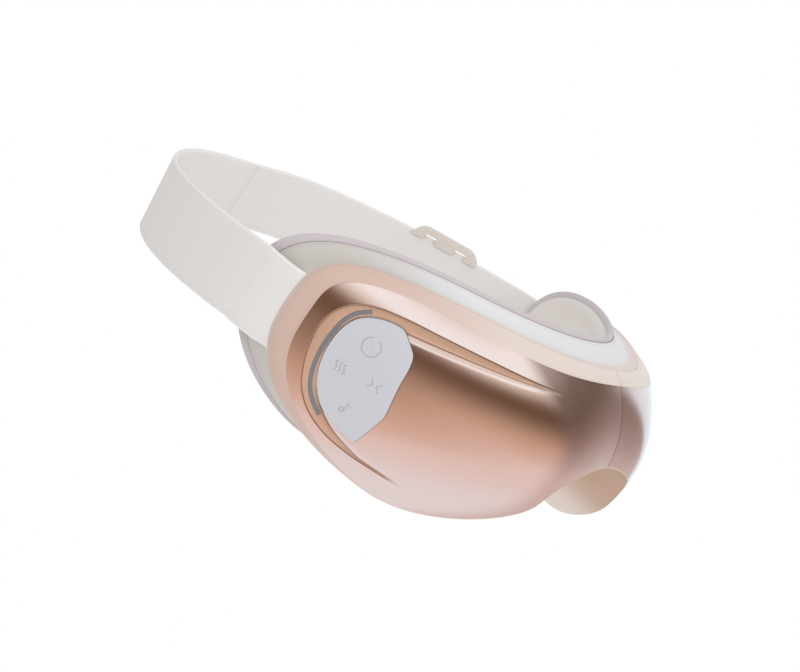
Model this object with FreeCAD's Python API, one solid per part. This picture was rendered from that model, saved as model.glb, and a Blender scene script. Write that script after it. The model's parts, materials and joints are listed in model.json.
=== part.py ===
import FreeCAD, Part
from FreeCAD import Vector as V
import math
import os

os.makedirs("parts", exist_ok=True)

# Heated air-pressure eye massager worn on a head strap, in millimetres.
# The mask is drawn from the strap's height and the middle of the face: x to the
# wearer's left, y to the back of the head, z up. It is moved to the rest plane on export.
rest_height = 39.08
centre_shift = -64.41

# Face rim, the outermost flange of the mask
rim_half = 103.5
rim_up = 39.5
rim_down = 46.6
rim_mid_y = -3.6
rim_tip_y = 69.0
rim_bow = 2.07
rim_shape = (4.2, 2.3, 4.6, 2.2)
rim_apex_step = 2.3
rim_grow = 2.0

# Side band, seen between the housing and the front shell, a step in or out from the rim
band_out = 0.5
band_step_up = 3.0
band_step_down = 2.0
band_half = rim_half + band_out
band_up = rim_up - band_step_up
band_down = rim_down - band_step_down
band_mid_y = -18.0
band_tip_y = 51.0
band_bow = 2.14
band_wall = 2.2
saddle_apex_step = 1.6
saddle_grow = 1.5
saddle_lip = 3.0

# Front shell edge, a step inside the band, and dome
shell_in = 0.4
shell_step_up = 2.4
shell_step_down = 0.8
shell_half = band_half - shell_in
shell_up = band_up - shell_step_up
shell_down = band_down - shell_step_down
shell_mid_y = -24.2
shell_tip_y = 44.6
shell_bow = 2.5
shell_shape = (3.75, 3.4, 4.9, 2.7)
shell_wall = 3.2
shell_lip = 0.6
dome_depth = 14.6
dome_power = 2.43
lobe_bump = 3.5
lobe_bump_x = 30.0
lobe_bump_width = 20.0

# Outline details common to all layers
wing_lift = 4.8
brow_rise = 1.4
brow_reach = 60.0
notch_apex = 8.2
notch_half = 32.0
notch_foot = -12.0
notch_round = 2.5
lobe_reach = 76.0
lobe_fall = 30.0
notch_blend = 4.0
rim_apex = notch_apex + rim_apex_step
saddle_apex = notch_apex + saddle_apex_step

# Clearances
joint_gap = 0.1
seam_gap = 0.3
key_gap = 0.2

# Relief groove around the keypad
groove_in = 2.8
groove_step_up = 5.6
groove_step_down = 12.8
groove_half = shell_half - groove_in
groove_up = shell_up - groove_step_up
groove_down = shell_down - groove_step_down
groove_r = 1.3

# Fold hinge behind the front shell
hinge_y = -6.2
hinge_r = 2.2
hinge_pin_r = 1.0
hinge_clear = 0.06
hinge_low = 15.0
hinge_high = 35.4
hinge_knuckles = 5
fold_max = 100.0

# Layers behind the shell, measured from the rim plane
plate_front = -8.0
plate_thick = 2.0
airbag_thick = 2.0
heater_thick = 0.6
layer_gap = 0.1
lip_height = 4.6
lip_width = 8.0
lip_edge = 2.3
lip_over = 0.7
plate_in = 6.0
plate_step_up = 6.9
plate_step_down = 7.1
plate_apex_step = 6.4
plate_half = rim_half - plate_in
plate_up = rim_up - plate_step_up
plate_down = rim_down - plate_step_down
plate_apex = notch_apex + plate_apex_step
plate_grow = 6.0
cushion_crown = 2.4
eye_x = 40.0
eye_z = 7.0
eye_half_w = 25.0
eye_half_h = 16.0
eye_sink = 3.2
channel_depth = 1.4
channel_width = 2.6

# Head strap, elastic webbing
strap_width = 30.0
strap_thick = 1.6
strap_stand_off = 4.0
strap_half = rim_half + strap_stand_off
strap_side_y = 71.5
strap_back_y = 168.2
strap_round = 2.26
strap_droop = -13.8
strap_pivot_y = 68.0
strap_bar_in = 9.9
strap_bar_x = rim_half - strap_bar_in
strap_bar_y = 42.5
strap_bar_r = 1.25
strap_bar_over = 3.0
strap_exit_out = 0.7
strap_exit_x = rim_half + strap_exit_out
strap_exit_y = 55.0
strap_slot_gap = 0.5
strap_flat_in = (0.9, 21.4)
strap_flat_y = (88.0, 135.6)
strap_flat_start = (strap_half - strap_flat_in[0], strap_flat_y[0])
strap_flat_end = (strap_half - strap_flat_in[1], strap_flat_y[1])
strap_out = 8.0
strap_mitre = 1.5
pivot_gap = 0.3

# Strap buckle, a two-slot slide
buckle_length = 34.0
buckle_height = 38.0
buckle_thick = 4.4
buckle_place = 32.9
buckle_corner = 7.0
buckle_clear = 0.35
buckle_end_bar = 4.5
buckle_mid_bar = 5.0
buckle_rail = 5.5
buckle_lip = 2.0

# Keypad on the wearer's right wing
pad_in = 13.2
pad_x = pad_in - shell_half
pad_z = -2.0
pad_outline = [(-12.6, 16.0), (-6.0, 20.2), (1.6, 21.7), (6.4, 19.4), (9.6, 15.6), (11.0, 9.0),
               (12.2, 1.0), (13.8, -6.6), (12.9, -14.6), (9.8, -21.6), (1.0, -20.0), (-5.8, -16.6),
               (-11.4, -11.0), (-15.0, -2.6), (-15.2, 7.0)]
pad_rise = 0.4
pad_thick = 1.7
key_r = 5.4
key_travel = 0.5
key_places = {"power": (-3.5, 10.9), "heat": (-8.2, -1.1), "massage": (5.0, 0.4), "mode": (0.8, -12.2)}
light_path = [(-10.6, 20.2), (-15.6, 14.2), (-17.6, 6.0), (-17.0, -4.0), (-13.2, -12.8), (-8.0, -18.0),
              (-4.8, -20.6)]
light_width = 1.4
board_depth = 7.0
board_thick = 1.2
board_u = (-13.0, 12.0)
board_v = (-17.0, 17.0)
switch_side = 4.2
switch_height = 2.2

# Fasteners
screw_r = 1.0
screw_head_r = 1.9
screw_head_h = 1.2
screw_length = 6.0
boss_r = 2.6
screw_places = [(14.0, 28.0), (68.0, -30.0), (70.0, 27.0)]

# Internal devices
motor_r = 3.5
motor_length = 11.0
motor_x = 62.0
motor_z = -20.0
weight_r = 2.9
weight_length = 3.2
shaft_r = 0.5
battery_size = (40.0, 7.5, 28.0)
battery_x = 58.0
battery_z = 8.0
pump_size = (15.0, 13.0, 14.0)
pump_motor_r = 6.0
pump_motor_length = 20.0
pump_x = -46.0
pump_z = 16.0
valve_size = (9.0, 8.0, 13.0)
valve_x = 24.0
valve_z = 24.0
hose_r = 1.8
hose_bore_r = 1.0
hose_y = -15.5
hose_z = 20.0
ribbon_width = 7.0
ribbon_thick = 0.4
ribbon_y = -14.4
ribbon_z = 28.0
port_x = -64.0
port_size = (8.9, 3.2, 6.6)
bulkhead_thick = 1.5

# Room around the mask within which walls are drawn before they are trimmed
slab_side = 8.5
slab_low = 9.4
slab_high = 10.5
layer_side = 6.5
layer_low = 23.4
layer_high = 20.5
seam_over = 6.0
post_reach = 30.0

rows_top = 22
rows_side = 18
rows_notch = 16
steps = 500
soften_span = 5
far = 400.0


def lift(x):
    return wing_lift * (abs(x) / rim_half) ** 3


def bow(x, mid, tip, half, power):
    return mid + (tip - mid) * (abs(x) / half) ** power


def rim_y(x):
    return bow(x, rim_mid_y, rim_tip_y, rim_half, rim_bow)


def band_y(x):
    return bow(x, band_mid_y, band_tip_y, band_half, band_bow)


def front_y(x, z):
    part = abs(x) / shell_half
    zz = z - lift(x)
    share = abs(zz) / (shell_up if zz > 0 else shell_down)
    edge = bow(x, shell_mid_y, shell_tip_y, shell_half, shell_bow)
    bump = lobe_bump * math.exp(-((abs(x) - lobe_bump_x) / lobe_bump_width) ** 2) * (1 - min(share, 1.0) ** 2)
    return edge - dome_depth * (1 - part ** 4 - share ** dome_power) - bump


def soft_max(a, b, k):
    return 0.5 * (a + b + math.sqrt((a - b) ** 2 + k * k))


def resample(points, count):
    run = [0.0]
    for a, b in zip(points, points[1:]):
        run.append(run[-1] + math.hypot(b[0] - a[0], b[1] - a[1]))
    out = []
    j = 0
    for i in range(count + 1):
        goal = run[-1] * i / count
        while j < len(run) - 2 and run[j + 1] < goal:
            j += 1
        t = (goal - run[j]) / max(run[j + 1] - run[j], 1e-9)
        a, b = points[j], points[j + 1]
        out.append((a[0] + t * (b[0] - a[0]), a[1] + t * (b[1] - a[1])))
    return out


# Rounds the corners of a line by averaging over a few millimetres of it
def soften(points):
    line = resample(points, 300)
    for _ in range(3):
        inner = []
        for i in range(1, len(line) - 1):
            k = int(min(soften_span, i, len(line) - 1 - i))
            part = line[i - k:i + k + 1]
            inner.append((sum(p[0] for p in part) / len(part), sum(p[1] for p in part) / len(part)))
        line = [line[0]] + inner + [line[-1]]
    return line


# One half of a layer's outline in front view, from the brow over the wing tip to the nose notch
def outline(half, up, down, shape, apex, grow):
    foot = notch_foot + 0.6 * grow
    top = []
    low = []
    for i in range(steps + 1):
        t = 0.5 * math.pi * i / steps
        x = half * math.sin(t) ** (2 / shape[0])
        brow = brow_rise * max(0.0, 1 - (x / brow_reach) ** 2) ** 2
        top.append((x, up * max(math.cos(t), 0.0) ** (2 / shape[1]) + brow + lift(x)))
        x = half * math.cos(t) ** (2 / shape[2]) if i < steps else 0.0
        z = -down * math.sin(t) ** (2 / shape[3]) + lift(x)
        if x < notch_half + grow:
            arch = max(1 - (x / (notch_half + grow)) ** notch_round, 0.0) ** (1 / notch_round)
            notch = foot + (apex - foot) * arch
        else:
            t = min((x - notch_half - grow) / (lobe_reach - notch_half - grow), 1.0)
            notch = foot - lobe_fall * (1 - (1 - t) ** 2)
        low.append((x, soft_max(z, notch, notch_blend)))
    low[0] = top[-1]
    low = soften(low)
    deep = min(range(len(low)), key=lambda k: low[k][1])
    side = resample(low[:deep + 1], rows_side)
    nose = resample(low[deep:], rows_notch)
    points = [(x, z, 0.0) for x, z in resample(top, rows_top)]
    points += [(x, z, 0.0) for x, z in side[1:]]
    points += [(p[0], p[1], (i + 1) / rows_notch) for i, p in enumerate(nose[1:])]
    return points


# A closed ring around the whole mask; place(x, z, s) gives its depth, s runs 0 to 1 up the notch
def ring(half, up, down, shape, apex, grow, place):
    left = outline(half, up, down, shape, apex, grow)
    points = [V(-x, place(x, z, s), z) for x, z, s in left]
    points += [V(x, place(x, z, s), z) for x, z, s in reversed(left[1:-1])]
    curve = Part.BSplineCurve()
    curve.interpolate(Points=points, PeriodicFlag=True, Parameters=[float(i) for i in range(len(points) + 1)])
    return Part.Wire([curve.toShape()])


# A solid ring whose section is the polygon of the given rings
def tube(rings):
    faces = []
    for a, b in zip(rings, rings[1:] + rings[:1]):
        faces.append(Part.makeRuledSurface(a.Edges[0], b.Edges[0], 1))
    shell = Part.makeShell(faces)
    shell.sewShape()
    solid = Part.makeSolid(shell.Shells[0])
    if solid.Volume < 0:
        solid.reverse()
    return solid


def smooth_edge(points, closed=False, leave=None, arrive=None):
    curve = Part.BSplineCurve()
    if leave is None:
        curve.interpolate(Points=points, PeriodicFlag=closed)
    else:
        curve.interpolate(Points=points, InitialTangent=leave, FinalTangent=arrive)
    return curve.toShape()


# A prism through the mask along y with the outline of its wearer's-right half, cut at the seam
def right_prism(half, up, down, shape, apex, grow):
    line = outline(half, up, down, shape, apex, grow)
    points = [V(-max(x, 0.5 * seam_gap), -far / 2, z) for x, z, s in line]
    wire = Part.Wire([smooth_edge(points), Part.makeLine(points[-1], points[0])])
    return Part.Face(wire).extrude(V(0, far, 0))


# A wall of the wearer's-right half that follows the rim's plan curve, between two depths from it
def layer(front, back, count=24):
    x_out = -rim_half - layer_side
    z_low = -rim_down - layer_low
    z_high = rim_up + layer_high
    xs = [x_out + (seam_over - x_out) * i / count for i in range(count + 1)]
    a = [V(x, rim_y(x) + front, z_low) for x in xs]
    b = [V(x, rim_y(x) + back, z_low) for x in xs]
    edges = [smooth_edge(a), Part.makeLine(a[-1], b[-1]), smooth_edge(b[::-1]), Part.makeLine(b[0], a[0])]
    return Part.Face(Part.Wire(edges)).extrude(V(0, 0, z_high - z_low))


# A slab behind a surface y = height(x, z) of the wearer's-right half
def slab(height, thick, nx=40, nz=34):
    x_out = -rim_half - slab_side
    z_low = -rim_down - slab_low
    z_high = rim_up + slab_high
    grid = []
    for i in range(nx + 1):
        x = x_out + (seam_over - x_out) * i / nx
        row = []
        for j in range(nz + 1):
            z = z_low + (z_high - z_low) * j / nz
            row.append(V(x, height(x, z), z))
        grid.append(row)
    surface = Part.BSplineSurface()
    surface.interpolate(grid)
    return surface.toShape().extrude(V(0, thick, 0))


def mirrored(shape):
    return shape.mirror(V(0, 0, 0), V(1, 0, 0))


def save(name, shape):
    solid = shape.copy()
    if len(solid.Solids) == 1:
        solid = solid.Solids[0].copy()
    solid.translate(V(0, centre_shift, rest_height))
    solid.exportStep("parts/" + name + ".step")


def box(x0, x1, y0, y1, z0, z1):
    return Part.makeBox(x1 - x0, y1 - y0, z1 - z0, V(x0, y0, z0))


right_side = box(-far, -0.5 * seam_gap, -far, far, -far, far)

# Room behind the hinge axis that lets the two halves fold towards each other
relief_x = math.tan(math.radians(0.5 * fold_max + 1.5)) * far / 4
relief_points = [V(0, hinge_y - 0.2, -far / 2), V(relief_x, hinge_y + far / 4, -far / 2),
                 V(-relief_x, hinge_y + far / 4, -far / 2), V(0, hinge_y - 0.2, -far / 2)]
relief = Part.Face(Part.makePolygon(relief_points)).extrude(V(0, 0, far))
barrel_room = Part.makeCylinder(hinge_r + pivot_gap, far, V(0, hinge_y, -far / 2))


# Local frames: on the keypad (u, v, outwards) and on the mounting plate (along, back, up)
def pad_frame():
    h = 0.25
    slope_x = (front_y(pad_x + h, pad_z) - front_y(pad_x - h, pad_z)) / (2 * h)
    slope_z = (front_y(pad_x, pad_z + h) - front_y(pad_x, pad_z - h)) / (2 * h)
    n = V(slope_x, -1, slope_z)
    n.normalize()
    u = V(0, 0, 1).cross(n)
    u.normalize()
    v = n.cross(u)
    c = V(pad_x, front_y(pad_x, pad_z), pad_z)
    return FreeCAD.Matrix(u.x, v.x, n.x, c.x, u.y, v.y, n.y, c.y, u.z, v.z, n.z, c.z, 0, 0, 0, 1)


pad_matrix = pad_frame()


def on_pad(shape):
    placed = shape.copy()
    placed.Placement = FreeCAD.Placement(pad_matrix).multiply(placed.Placement)
    return placed


def plate_spot(x, z):
    h = 0.25
    slope = (rim_y(x + h) - rim_y(x - h)) / (2 * h)
    turn = FreeCAD.Rotation(V(0, 0, 1), math.degrees(math.atan(slope)))
    return FreeCAD.Placement(V(x, rim_y(x) + plate_front, z), turn)


def on_plate(shape, x, z):
    placed = shape.copy()
    placed.Placement = plate_spot(x, z).multiply(placed.Placement)
    return placed


def pad_prism(points, low, high, grow=0.0):
    cu = sum(p[0] for p in points) / len(points)
    cv = sum(p[1] for p in points) / len(points)
    out = []
    for p in points:
        r = math.hypot(p[0] - cu, p[1] - cv)
        k = (r + grow) / r
        out.append(V(cu + k * (p[0] - cu), cv + k * (p[1] - cv), low))
    face = Part.Face(Part.Wire([smooth_edge(out, True)]))
    return on_pad(face.extrude(V(0, 0, high - low)))


# Strip of light beside the keypad: a narrow arc with square ends
def light_prism(width, low, high):
    inner = []
    outer = []
    for i, p in enumerate(light_path):
        a = light_path[max(i - 1, 0)]
        b = light_path[min(i + 1, len(light_path) - 1)]
        d = math.hypot(b[0] - a[0], b[1] - a[1])
        nu, nv = -(b[1] - a[1]) / d, (b[0] - a[0]) / d
        inner.append(V(p[0] + nu * width / 2, p[1] + nv * width / 2, low))
        outer.append(V(p[0] - nu * width / 2, p[1] - nv * width / 2, low))
    edges = [smooth_edge(inner), Part.makeLine(inner[-1], outer[-1]), smooth_edge(outer[::-1]),
             Part.makeLine(outer[0], inner[0])]
    return on_pad(Part.Face(Part.Wire(edges)).extrude(V(0, 0, high - low)))


# Depth in y of one millimetre along the keypad's normal
pad_tilt = 1.0 / abs(pad_matrix.A23)

# Front shells: a curved wall with screw bosses, set inside the band's lip
shell_inset = shell_lip + joint_gap
shell_room = right_prism(shell_half - shell_inset, shell_up - shell_inset, shell_down - shell_inset,
                         shell_shape, notch_apex + shell_inset, shell_inset)
shell_plain = slab(front_y, shell_wall).common(shell_room)
behind_shell = slab(lambda x, z: front_y(x, z) + 0.5 * shell_wall, far / 4)
bosses = []
for place_x, place_z in screw_places:
    post = Part.makeCylinder(boss_r, 40.0, V(0, -layer_gap, 0), V(0, -1, 0))
    post = on_plate(post, -place_x, place_z).common(behind_shell)
    hole = Part.makeCylinder(screw_r - 0.15, screw_length, V(0, 0.5, 0), V(0, -1, 0))
    bosses.append(post.cut(on_plate(hole, -place_x, place_z)))
shell_plain = shell_plain.fuse(bosses)

groove_points = []
for i in range(41):
    t = math.pi * (0.13 + 0.74 * i / 40)
    a = abs(math.sin(t))
    if t < 0.5 * math.pi:
        x = groove_half * a ** (2 / 3.75)
        z = groove_up * abs(math.cos(t)) ** (2 / 2.6)
    else:
        x = groove_half * a ** (2 / 9.0)
        z = -groove_down * abs(math.cos(t)) ** (2 / 2.2)
    fade = max(0.0, abs(i - 20) - 11) / 9.0
    z += lift(x)
    groove_points.append(V(-x, front_y(-x, z) - groove_r * (0.9 + 1.6 * fade ** 2), z))
groove_edge = smooth_edge(groove_points)
groove_start = groove_points[1].sub(groove_points[0])
groove_disc = Part.Wire([Part.makeCircle(groove_r, groove_points[0], groove_start)])
groove = Part.Wire([groove_edge]).makePipeShell([groove_disc], True, True)
shell_grooved = shell_plain.cut(groove)

pad_room = pad_prism(pad_outline, -6.0, 6.0, key_gap)
light_room = light_prism(light_width + 2 * joint_gap, -6.0, 6.0)
save("front_shell_left", mirrored(shell_grooved))
save("front_shell_right", shell_grooved.cut(pad_room).cut(light_room))

# Keypad: a thin panel, four keys that travel along its normal, and a light strip
pad_slab = slab(lambda x, z: front_y(x, z) - pad_rise * pad_tilt, (pad_rise + pad_thick) * pad_tilt)
panel = pad_slab.common(pad_prism(pad_outline, -6.0, 6.0))
key_tops = {}
for key_name, (u, v) in key_places.items():
    panel = panel.cut(on_pad(Part.makeCylinder(key_r + key_gap, 20.0, V(u, v, -10))))
    cap = pad_slab.common(on_pad(Part.makeCylinder(key_r, 20.0, V(u, v, -10))))
    stem_low = -board_depth + switch_height + key_travel + 0.4
    stem = on_pad(Part.makeCylinder(1.6, -0.8 - stem_low, V(u, v, stem_low)))
    key_tops[key_name] = cap.fuse(stem)
save("keypad_panel", panel)
for key_name, key in key_tops.items():
    save("key_" + key_name, key)
save("light_strip", slab(front_y, 2.0 * pad_tilt).common(light_prism(light_width, -6.0, 6.0)))

# Control board behind the keypad, its switches under the keys and a light source under the strip
board = Part.makeBox(board_u[1] - board_u[0], board_v[1] - board_v[0], board_thick,
                     V(board_u[0], board_v[0], -board_depth - board_thick))
save("control_board", on_pad(board))
switches = []
for u, v in key_places.values():
    body = Part.makeBox(switch_side, switch_side, switch_height - 0.7,
                        V(u - switch_side / 2, v - switch_side / 2, -board_depth))
    stud = Part.makeCylinder(1.0, 0.7, V(u, v, -board_depth + switch_height - 0.7))
    switches.append(on_pad(body.fuse(stud)))
save("key_switches", Part.makeCompound(switches))

# Side bands with the deep nose saddle
saddle_start = 0.15
saddle_end = 0.55


def saddle(s):
    t = min(max((s - saddle_start) / (saddle_end - saddle_start), 0.0), 1.0)
    return t * t * (3 - 2 * t)


def band_back(x, z, s, shift=0.0):
    deep = rim_y(x) - saddle_lip
    return band_y(x) + saddle(s) * (deep - band_y(x)) + shift


def band_ring(inset, shift, apex):
    return ring(band_half - inset, band_up - inset, band_down - inset, shell_shape, apex + inset,
                saddle_grow + inset, lambda x, z, s: band_back(x, z, s, shift))


def shell_ring(inset, depth=0.0):
    return ring(shell_half - inset, shell_up - inset, shell_down - inset, shell_shape, notch_apex + inset,
                inset, lambda x, z, s: front_y(x, z) + depth)


def rim_ring(inset, depth):
    return ring(rim_half - inset, rim_up - inset, rim_down - inset, rim_shape, rim_apex + inset,
                rim_grow + inset, lambda x, z, s: rim_y(x) + depth)


band = tube([shell_ring(0.0), band_ring(0.0, 0.0, saddle_apex), band_ring(band_wall, 0.0, saddle_apex),
             shell_ring(shell_lip, shell_wall + joint_gap), shell_ring(shell_lip)])
band_right = band.common(right_side)
save("side_band_right", band_right)
save("side_band_left", mirrored(band_right))

# Rear housings: the pale wall from the band to the rim, with a slot for the strap and a charging port
housing = tube([band_ring(0.0, joint_gap, saddle_apex), rim_ring(0.4, 0.0), rim_ring(0.4 + band_wall, 0.0),
                band_ring(band_wall, joint_gap, saddle_apex)])
housing_right = housing.common(right_side).cut(relief).cut(barrel_room)

# Strap end: from a bar inside the housing through the slot, then along the outside of the wing
root_points = [(strap_bar_x, strap_bar_y - strap_bar_r - 0.1 - strap_thick / 2),
               (strap_bar_x + 4.0, strap_bar_y + 1.4),
               (strap_exit_x - 2.6, strap_exit_y - 3.0), (strap_exit_x, strap_exit_y),
               (strap_half - 1.2, strap_pivot_y - 7.5), (strap_half - 0.3, strap_pivot_y - 3.5),
               (strap_half, strap_pivot_y - pivot_gap)]


# Webbing on the wearer's left that follows plan points; leave and arrive set its end directions
def webbing(points, thick, low, high, leave=None, arrive=None):
    rows = []
    for side in (-0.5, 0.5):
        row = []
        for i, p in enumerate(points):
            a = points[max(i - 1, 0)]
            b = points[min(i + 1, len(points) - 1)]
            d = V(b[0] - a[0], b[1] - a[1], 0)
            if leave is not None and i == 0:
                d = V(leave)
            if leave is not None and i == len(points) - 1:
                d = V(arrive)
            d.normalize()
            row.append(V(p[0] - side * thick * d.y, p[1] + side * thick * d.x, low))
        rows.append(row)
    edges = [smooth_edge(rows[0], False, leave, arrive), Part.makeLine(rows[0][-1], rows[1][-1]),
             smooth_edge(rows[1], False, leave, arrive), Part.makeLine(rows[1][0], rows[0][0])]
    return Part.Face(Part.Wire(Part.sortEdges(edges)[0])).extrude(V(0, 0, high - low))


half_strap = strap_width / 2
root = mirrored(webbing(root_points, strap_thick, -half_strap, half_strap))
eye_at = V(-strap_bar_x, strap_bar_y, -half_strap)
eye_out = Part.makeCylinder(strap_bar_r + 0.1 + strap_thick, strap_width, eye_at)
eye_in = Part.makeCylinder(strap_bar_r + 0.1, strap_width, eye_at)
root = root.fuse(eye_out).cut(eye_in)
slot_room = webbing(root_points, strap_thick + 2 * strap_slot_gap, -half_strap - strap_slot_gap,
                    half_strap + strap_slot_gap)
housing_right = housing_right.cut(mirrored(slot_room))
save("strap_end_right", root)
save("strap_end_left", mirrored(root))
bar_length = strap_width + 2 * strap_bar_over
bar = Part.makeCylinder(strap_bar_r, bar_length, V(-strap_bar_x, strap_bar_y, -bar_length / 2))
save("strap_bar_right", bar)
save("strap_bar_left", mirrored(bar))

# Two cheeks hold the ends of the bar; they stand on the mounting plate
cheeks = []
for z0 in (-half_strap - strap_bar_over - 0.4, half_strap + 0.5):
    cheek = box(-strap_bar_x - 3.0, -strap_bar_x + 9.0, strap_bar_y - 3.0, strap_bar_y + 6.5,
                z0, z0 + strap_bar_over - 0.1)
    bar_hole = Part.makeCylinder(strap_bar_r + 0.03, far, V(-strap_bar_x, strap_bar_y, -far / 2))
    cheeks.append(cheek.cut(bar_hole))

# Charging port in the lower wall of the wearer's-right housing
port_y = 0.5 * (band_y(port_x) + rim_y(port_x))
port_probe = box(port_x - 0.5, port_x + 0.5, port_y - 0.5, port_y + 0.5, -far / 2, 0)
port_wall = housing_right.common(port_probe).BoundBox.ZMin


def port_box(grow, low, high):
    half_x = port_size[0] / 2 + grow
    half_y = port_size[1] / 2 + grow
    return box(port_x - half_x, port_x + half_x, port_y - half_y, port_y + half_y,
               port_wall + low, port_wall + high)


def round_port(shape, r):
    return shape.makeFillet(r, [e for e in shape.Edges if abs(e.tangentAt(e.FirstParameter).z) > 0.9])


port_outer = round_port(port_box(0.0, 0.0, port_size[2]), 1.3)
port_inner = round_port(port_box(-0.35, -1.0, port_size[2] - 0.8), 0.9)
tongue = box(port_x - 3.3, port_x + 3.3, port_y - 0.35, port_y + 0.35,
             port_wall + 1.0, port_wall + port_size[2] - 0.5)
save("charging_port", port_outer.cut(port_inner).fuse(tongue))
port_room = port_box(0.15, -6.0, 12.0)
save("rear_housing_left", mirrored(housing_right))
save("rear_housing_right", housing_right.cut(port_room))

# Soft rim of the face side, a padded lip with a thin outer edge
lip = tube([rim_ring(-0.2, joint_gap), rim_ring(-lip_over, 0.5 * lip_edge), rim_ring(0.2, lip_edge),
            rim_ring(0.45 * lip_width, lip_height), rim_ring(0.85 * lip_width, 0.8 * lip_height),
            rim_ring(lip_width, joint_gap)])
lip_right = lip.common(right_side).cut(relief).cut(barrel_room)
save("face_rim_right", lip_right)
save("face_rim_left", mirrored(lip_right))

# Mounting plate with posts for the board and cheeks for the strap bar
plate_room = right_prism(plate_half, plate_up, plate_down, shell_shape, plate_apex, plate_grow)
plate = layer(plate_front, plate_front + plate_thick)
plate = plate.common(plate_room).cut(relief).cut(barrel_room)
plate_back = layer(plate_front + 0.5 * plate_thick, far / 4)
plate = plate.fuse([c.cut(plate_back) for c in cheeks])
for place_x, place_z in screw_places:
    shank = Part.makeCylinder(screw_r + 0.15, 20.0, V(0, 10, 0), V(0, -1, 0))
    plate = plate.cut(on_plate(shank, -place_x, place_z))
posts = []
for u, v in ((-9.0, 14.0), (9.0, 14.0), (0.0, -15.0)):
    post_foot = V(u, v, -board_depth - board_thick - layer_gap)
    post = on_pad(Part.makeCylinder(1.8, post_reach, post_foot, V(0, 0, -1)))
    posts.append(post.cut(plate_back))
save("mounting_plate_left", mirrored(plate))
save("mounting_plate_right", plate.fuse(posts).cut(port_room))

# Screws: pan heads behind the plate, shanks into the shell bosses
screws = []
for place_x, place_z in screw_places:
    head = Part.makeCylinder(screw_head_r, screw_head_h, V(0, plate_thick + 0.35, 0), V(0, 1, 0))
    shank = Part.makeCylinder(screw_r - 0.2, screw_length, V(0, plate_thick + 0.35, 0), V(0, -1, 0))
    screws.append(on_plate(head.fuse(shank), -place_x, place_z))
save("screws_right", Part.makeCompound(screws))
save("screws_left", mirrored(Part.makeCompound(screws)))

# Airbag and heating pad between the plate and the cushion, oval around the eye
pad_layers = Part.Ellipse(V(0, 0, 0), eye_half_w, eye_half_h)
oval = Part.Face(Part.Wire([pad_layers.toShape()]))
oval.Placement = FreeCAD.Placement(V(-eye_x, -far / 2, eye_z), FreeCAD.Rotation(V(1, 0, 0), 90))
oval = oval.extrude(V(0, far, 0))
pad_area = right_prism(plate_half - 2, plate_up - 2, plate_down - 2, shell_shape, plate_apex + 3.0,
                       plate_grow + 3.0)
air_front = plate_front + plate_thick + layer_gap
heat_front = air_front + airbag_thick + layer_gap
cushion_front = heat_front + heater_thick + layer_gap
airbag = layer(air_front, air_front + airbag_thick).common(oval).common(pad_area)
heater = layer(heat_front, heat_front + heater_thick).common(oval).common(pad_area)
save("airbag_right", airbag)
save("airbag_left", mirrored(airbag))
save("heating_pad_right", heater)
save("heating_pad_left", mirrored(heater))


# Face cushion: crowned, sunk over the eye, with a stitched channel around the sunk part
def cushion_back(x, z):
    r = math.hypot((abs(x) - eye_x) / eye_half_w, (z - eye_z) / eye_half_h)
    sink = eye_sink / (1 + math.exp(8.0 * (r - 0.75)))
    channel = channel_depth * math.exp(-((r - 1.0) * eye_half_h / channel_width) ** 2)
    return rim_y(x) + cushion_crown - sink - channel


cushion_inset = lip_width + 3 * joint_gap
cushion_room = right_prism(rim_half - cushion_inset, rim_up - cushion_inset, rim_down - cushion_inset,
                           rim_shape, rim_apex + cushion_inset, rim_grow + cushion_inset)
cushion_all = layer(cushion_front, far / 4)
cushion = slab(lambda x, z: cushion_back(x, z) - 20.0, 20.0, nx=56, nz=50)
cushion = cushion.common(cushion_all).common(cushion_room).cut(relief).cut(barrel_room)
save("face_cushion_right", cushion)
save("face_cushion_left", mirrored(cushion))

# End walls that close each half at the fold
wall_low = notch_apex + shell_inset + band_wall + 1.2
wall_high = shell_up + brow_rise - 3.0
wall_points = []
for i in range(13):
    z = wall_low + (wall_high - wall_low) * i / 12
    wall_points.append(V(-0.5 * seam_gap, front_y(0, z) + shell_wall + 0.4, z))
wall_points += [V(-0.5 * seam_gap, band_mid_y + 1.0, band_up + brow_rise - band_wall - 1.0),
                V(-0.5 * seam_gap, rim_mid_y + plate_front - 0.3, band_up + brow_rise - band_wall - 0.6),
                V(-0.5 * seam_gap, rim_mid_y + plate_front - 0.3, plate_apex + 1.0)]
wall_points.append(wall_points[0])
end_wall = Part.Face(Part.makePolygon(wall_points)).extrude(V(-bulkhead_thick, 0, 0))
hose_room = Part.makeCylinder(hose_r + 0.3, far, V(-far / 2, hose_y, hose_z), V(1, 0, 0))
ribbon_room = box(-far, far, ribbon_y - ribbon_thick / 2 - 0.3, ribbon_y + ribbon_thick / 2 + 0.3,
                  ribbon_z - ribbon_width / 2 - 0.3, ribbon_z + ribbon_width / 2 + 0.3)
end_wall = end_wall.cut(hose_room).cut(ribbon_room)
save("end_wall_right", end_wall)
save("end_wall_left", mirrored(end_wall))

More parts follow.
